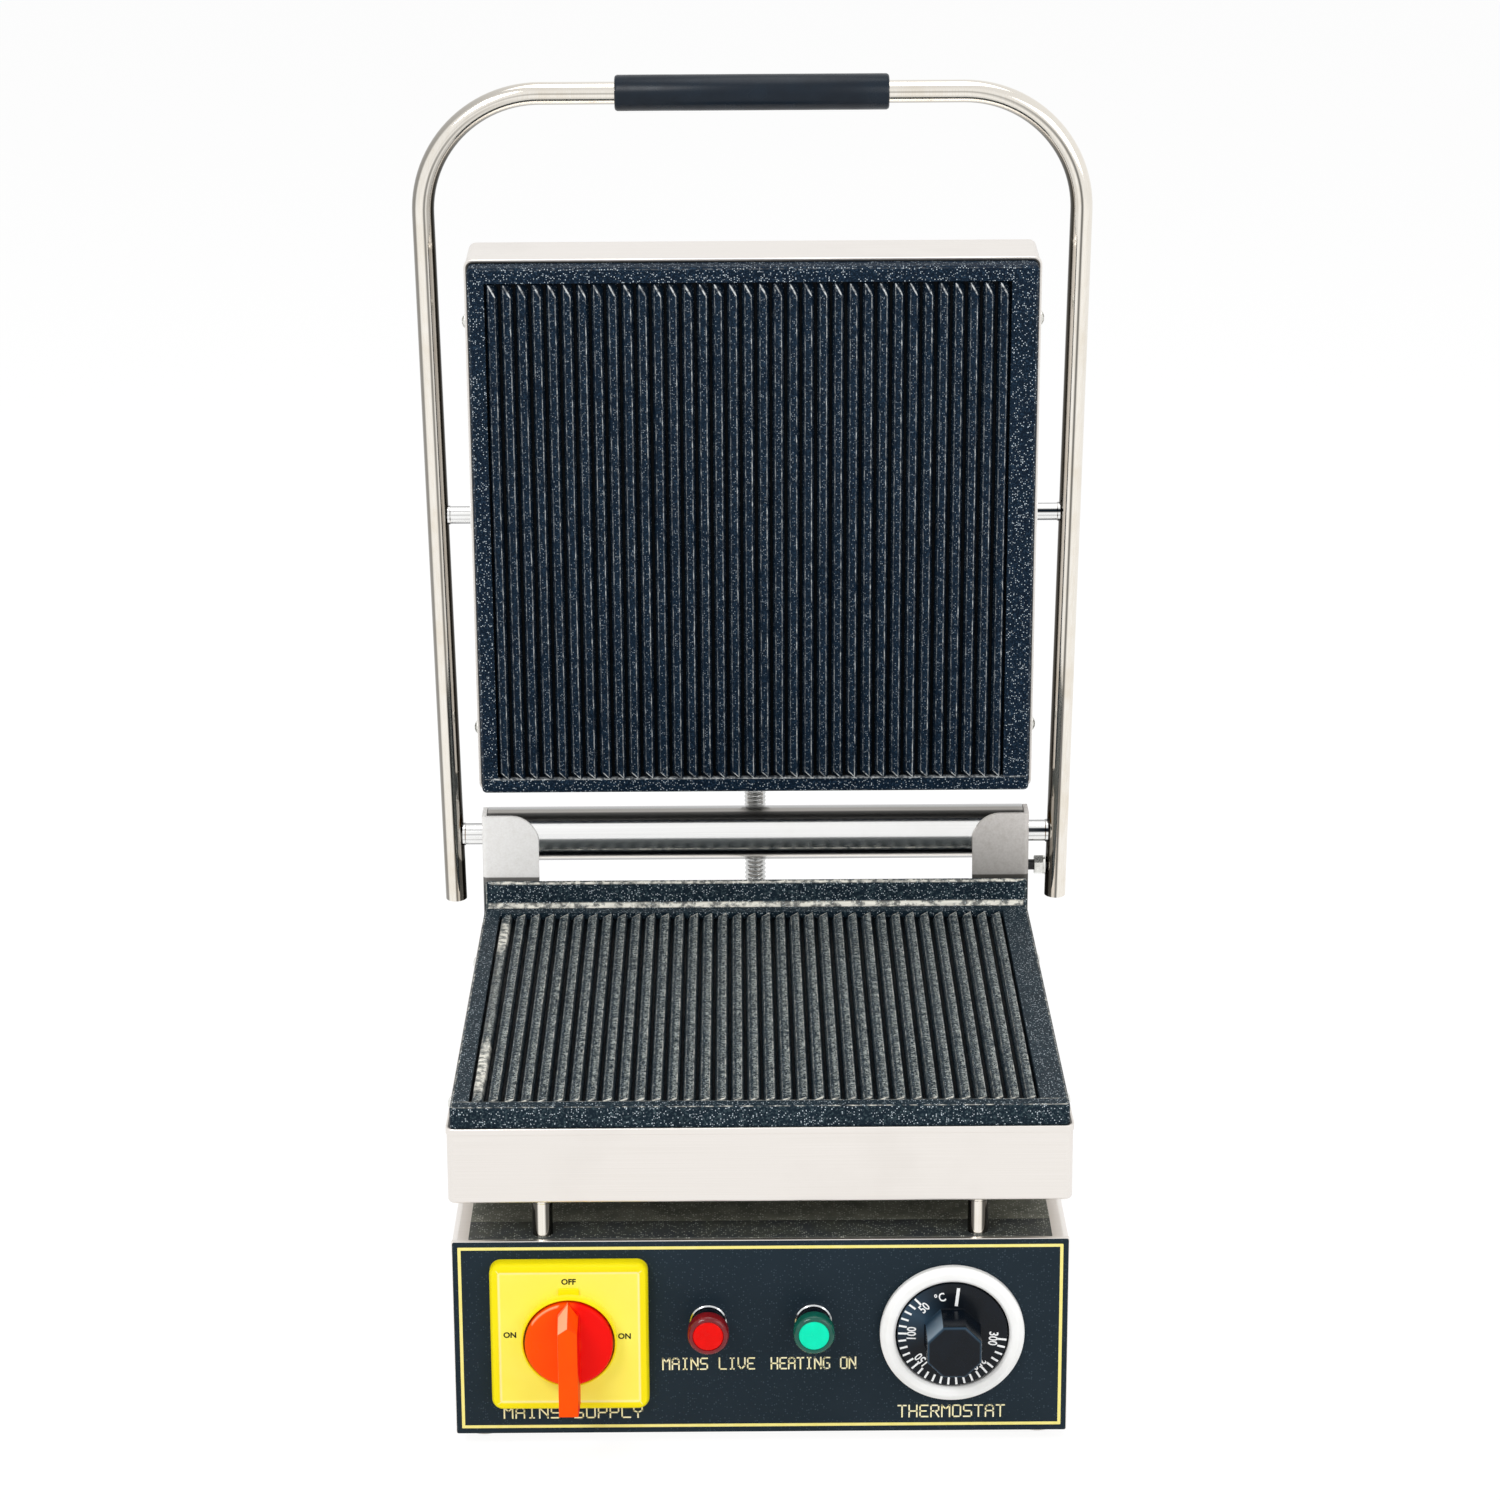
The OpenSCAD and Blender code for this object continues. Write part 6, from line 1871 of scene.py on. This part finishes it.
@dataclass
class WiringConduit:
    """Metal hose from the base to the upper plate, in two pieces that meet just above the handle's hinge."""

    hose_r: float = 5.0
    groove: float = 0.8
    pitch: float = 2.2
    dips: tuple[float, ...] = (0.0, 0.35, 1.0, 0.35)
    rise: float = 25.0
    lead: float = 8.0
    straight: float = 20.0
    held: int = 10
    split_above: float = 4.0
    still_above: float = 13.0

    def route(self, upper: Matrix, mouth: Vector) -> list[Vector]:
        """Centre line from the base's gland to the upper one.

        Args:
            upper: the upper plate's frame.
            mouth: the upper gland's mouth in that frame.

        Returns:
            Points a quarter of a pitch apart.
        """
        gland = "conduit_base_gland"
        foot = Vector((0, middle_mm(gland).y, box_mm(gland)[1].z))
        bend = Vector((0, foot.y, JOINT_AT["handle_hinge"].z - self.straight))
        end = upper @ mouth
        before = upper @ (mouth - Vector((0, self.lead, 0)))
        after = bend + Vector((0, 0, self.rise))
        dense = [foot.lerp(bend, k / 60) for k in range(60)]
        for k in range(161):
            t = k / 160
            dense.append(bend * (1 - t) ** 3 + after * 3 * t * (1 - t) ** 2
                         + before * 3 * t * t * (1 - t) + end * t ** 3)
        step, path, left = self.pitch / len(self.dips), [dense[0]], 0.0
        for a, b in zip(dense, dense[1:]):
            span = (b - a).length
            while left + span >= step and span > 0:
                a = a.lerp(b, (step - left) / span)
                path.append(a)
                span, left = (b - a).length, 0.0
            left += span
        return path + [dense[-1]]

    def build(self, upper: Matrix, mouth: Vector) -> None:
        """Builds the hose and dresses its glands.

        Args:
            upper: the upper plate's frame.
            mouth: the upper gland's mouth in that frame.
        """
        path, axis = self.route(upper, mouth), JOINT_AT["handle_hinge"]
        cut = next(i for i, p in enumerate(path) if p.z > axis.z + self.split_above)
        cut -= cut % len(self.dips)

        def radius(i: int) -> float:
            """Ridges and grooves of the rolled hose."""
            return self.hose_r - self.groove * self.dips[i % len(self.dips)]

        lower = Shape().sweep(path[: cut + 1], radius, 28)
        piece = lower.place("wiring_hose_lower", HOSE, "base", ["wiring_conduit"], ride=False, sharp=80)
        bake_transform(piece)
        above = Shape().sweep(path[cut:], radius, 28)
        piece = above.place("wiring_hose_upper", HOSE, "handle", ["wiring_conduit"], ride=False, sharp=80)
        clear = next(p for p in path if p.z > axis.z + self.still_above)
        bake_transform(piece)
        dress(HOSE, "conduit_base_gland", "upper_conduit_gland")


@dataclass
class MainsInlet:
    """Nylon gland in the back where the mains lead goes in."""

    thread_r: float = 8.0
    bore_r: float = 4.2
    hex_w: float = 22.0
    hex_t: float = 5.0
    nose_l: float = 18.0
    nose_base_r: float = 10.0
    nose_tip_r: float = 7.7
    thread_l: float = 12.0
    nut_t: float = 4.0
    sheet_t: float = 1.2
    ribs: int = 6
    ridge_h: float = 0.8

    def build(self) -> None:
        """Builds the gland and dresses the terminals."""
        middle, back = middle_mm("mains_gland"), Matrix.Rotation(math.radians(-90), 4, "X")
        at = Matrix.Translation((middle.x, box_mm("base_shell")[1].y, middle.z)) @ back
        outline = arc(self.hex_w / 2 / math.cos(math.radians(30)), 0, 300, 5)
        shape = Shape().prism(outline, 0, self.hex_t, 0.6, at)
        shape.prism(outline, -self.sheet_t - self.nut_t, -self.sheet_t, 0.5, at)
        start, end, steps = self.hex_t, self.hex_t + self.nose_l, self.ribs * 3
        inner, r, bore = -self.thread_l, self.thread_r, self.bore_r
        profile = [(bore, inner), (r - 0.6, inner), (r, inner + 0.6), (r, start)]
        for k in range(steps + 1):
            dip = self.ridge_h if k % 3 == 2 else 0.0
            taper = (self.nose_tip_r - self.nose_base_r) * k / steps
            profile.append((self.nose_base_r + taper - dip, start + k * self.nose_l / steps))
        profile += [(bore + 0.5, end), (bore, end - 0.5)]
        shape.ring_body(profile, 60, at)
        shape.place("mains_inlet_gland", NYLON, "base", ["mains_gland"])
        dress(STEATITE, "terminal_block")


@dataclass
class UpperFittings:
    """Access cover, bushes and bulb that need no new shape."""

    def build(self) -> None:
        """Dresses the fittings."""
        dress(SHEET, "upper_access_cover")
        dress(ZINC, "cover_screws")
        dress(POLISHED, "pivot_bushes")
        dress(COPPER, "thermostat_bulb")


@dataclass(frozen=True)
class CastingPlaces:
    """Where both castings and the upper gland lie, worked out from the frame's nodes and joints."""

    lip_h: float = 11.5
    lower_depth: float = 33.0
    upper_l: float = 250.5
    upper_depth: float = 34.0
    pivot_off: float = 2.4
    pivot_depth: float = 26.0
    lean_deg: float = 5.0
    gland_l: float = 8.0
    gland_r: float = 5.75
    gap: float = 0.3

    def lower(self) -> Matrix:
        """Frame of the lower casting: crests on Z = 0, near end on Y = 0."""
        low, high = box_mm("lower_grill_plate")
        return Matrix.Translation((0, low.y, high.z - self.lip_h))

    def upper(self) -> Matrix:
        """Frame of the upper casting, which leans back on its pivot.

        Returns:
            The frame, with the crests on Z = 0 and the near end on Y = 0.
        """
        pivot = JOINT_AT["plate_tilt"]
        return (Matrix.Translation((0, pivot.y, pivot.z))
                @ Matrix.Rotation(math.radians(self.lean_deg), 4, "X")
                @ Matrix.Translation((0, -self.pivot_depth, -(self.upper_l / 2 + self.pivot_off)))
                @ Matrix.Rotation(math.radians(90), 4, "X"))

    def gland_mouth(self, plate: GrillPlate) -> Vector:
        """Mouth of the upper gland in the upper casting's frame, below the tray's near end."""
        deep = plate.show + plate.depth - plate.sheet_t - self.gland_r - self.gap
        return Vector((0, -plate.fit - plate.sheet_t - self.gland_l - self.gap, -deep))


# -------------------------------------------------------------------- studio


@dataclass
class Studio:
    """Plain pale floor, soft lamps and the camera."""

    camera_at: tuple[float, float, float] = (-0.0081, -1.7091, 0.7635)
    pitch_deg: float = 16.48
    yaw_deg: float = -0.18
    roll_deg: float = -0.31
    lens_mm: float = 97.9
    floor_m: float = 14.0
    paper: float = 0.9
    white: str = "#ffffff"
    floor_white: float = 1.1
    shadow_share: float = 0.22
    world_fill: float = 0.58

    def build(self) -> None:
        """Sets up floor, world, lamps and camera."""
        self.floor()
        self.world()
        self.lamp("key", (-1.3, -1.9, 2.1), 1.1, 31.0)
        self.lamp("fill", (1.7, -1.6, 1.2), 1.4, 14.0)
        self.lamp("top", (0.1, 0.1, 2.4), 1.4, 12.0)
        self.camera()

    def floor(self) -> None:
        """White floor that keeps the soft shadow."""
        mesh = bpy.data.meshes.new("studio_floor")
        work = bmesh.new()
        half = self.floor_m / 2
        corners = [work.verts.new((x * half, y * half, 0.0)) for x, y in ((-1, -1), (1, -1), (1, 1), (-1, 1))]
        work.faces.new(corners)
        work.to_mesh(mesh)
        work.free()
        floor = bpy.data.objects.new("studio_floor", mesh)
        bpy.context.scene.collection.objects.link(floor)
        floor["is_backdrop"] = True
        material = bpy.data.materials.new("studio_floor_paper")
        material.use_nodes = True
        tree = material.node_tree
        tree.nodes.clear()
        paper = add(tree, "BsdfDiffuse", (self.paper, self.paper, self.paper, 1.0))
        white = add(tree, "Emission", linear(self.white), self.floor_white)
        lifted = add(tree, "MixShader", self.shadow_share, white, paper)
        add(tree, "OutputMaterial", Surface=add(tree, "MixShader", self.seen_rays(tree), paper, lifted))
        mesh.materials.append(material)

    def seen_rays(self, tree: Tree) -> Node:
        """Camera, mirror and see-through rays, which show the background as it is.

        Args:
            tree: the node tree.

        Returns:
            The node that gives 1 for such a ray and 0 for any other.
        """
        path = add(tree, "LightPath").outputs
        mirrored = add(tree, "Math", path["Is Camera Ray"], path["Is Glossy Ray"], operation="MAXIMUM")
        return add(tree, "Math", mirrored, path["Is Transmission Ray"], operation="MAXIMUM")

    def world(self) -> None:
        """White surroundings that light the object at a plain level."""
        world = bpy.data.worlds.new("studio_world")
        bpy.context.scene.world = world
        world.use_nodes = True
        tree = world.node_tree
        tree.nodes.clear()
        dim = add(tree, "Background", linear(self.white), self.world_fill)
        white = add(tree, "Background", linear(self.white), 1.0)
        add(tree, "OutputWorld", Surface=add(tree, "MixShader", self.seen_rays(tree), dim, white))

    def lamp(self, name: str, at: tuple[float, float, float], size: float, watts: float) -> None:
        """Adds a soft square lamp that faces the grill.

        Args:
            name: its name.
            at: its place, in metres.
            size: its side, in metres.
            watts: its power.
        """
        data = bpy.data.lights.new(name + "_lamp", "AREA")
        data.size = size
        data.energy = watts
        lamp = bpy.data.objects.new(name + "_lamp", data)
        lamp.location = at
        lamp.rotation_mode = "QUATERNION"
        lamp.rotation_quaternion = ((CAD_LOW + CAD_HIGH) / 2 - Vector(at)).to_track_quat("-Z", "Y")
        bpy.context.scene.collection.objects.link(lamp)

    def camera(self) -> None:
        """Camera in front of the grill, a little above it."""
        data = bpy.data.cameras.new("studio_camera")
        data.lens = self.lens_mm
        data.sensor_width = 36.0
        data.clip_start, data.clip_end = 0.05, 50.0
        camera = bpy.data.objects.new("studio_camera", data)
        turn = Matrix.Rotation(math.radians(self.yaw_deg), 4, "Z")
        tilt = Matrix.Rotation(math.radians(90 - self.pitch_deg), 4, "X")
        roll = Matrix.Rotation(math.radians(self.roll_deg), 4, "Z")
        camera.location = self.camera_at
        camera.rotation_euler = (turn @ tilt @ roll).to_euler()
        bpy.context.scene.collection.objects.link(camera)
        bpy.context.scene.camera = camera
        bpy.context.scene.view_settings.view_transform = "Standard"


def main() -> None:
    """Builds the sub-assemblies in order, then the studio."""
    logging.basicConfig(level=logging.INFO, format="%(message)s")
    places = CastingPlaces()
    low, high = box_mm("lower_grill_plate")
    lower = GrillPlate("lower", "base", places.lower(), high.y - low.y, 14.5, IRON, places.lower_depth,
                       places.lip_h, cut_side=-1, worn_ribs=1, edge_glint=0.9, crest=3.6, rib_grit=0.6,
                       rub_left=0.15)
    upper = GrillPlate("upper", "upper_plate", places.upper(), places.upper_l, 7.0, UPPER_IRON,
                       places.upper_depth, rim_glint=0.2)
    for part in (BaseCabinet(), RotarySwitch(), PilotLamps(), DialThermostat(), lower, upper, UpperFittings(),
                 HingeGroup(), LiftHandle()):
        part.build()
    WiringConduit().build(upper.at, places.gland_mouth(upper))
    MainsInlet().build()
    Studio().build()
    low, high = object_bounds()
    LOG.info("visual box %s to %s", tuple(round(v, 4) for v in low), tuple(round(v, 4) for v in high))


if __name__ == "__main__":
    main()
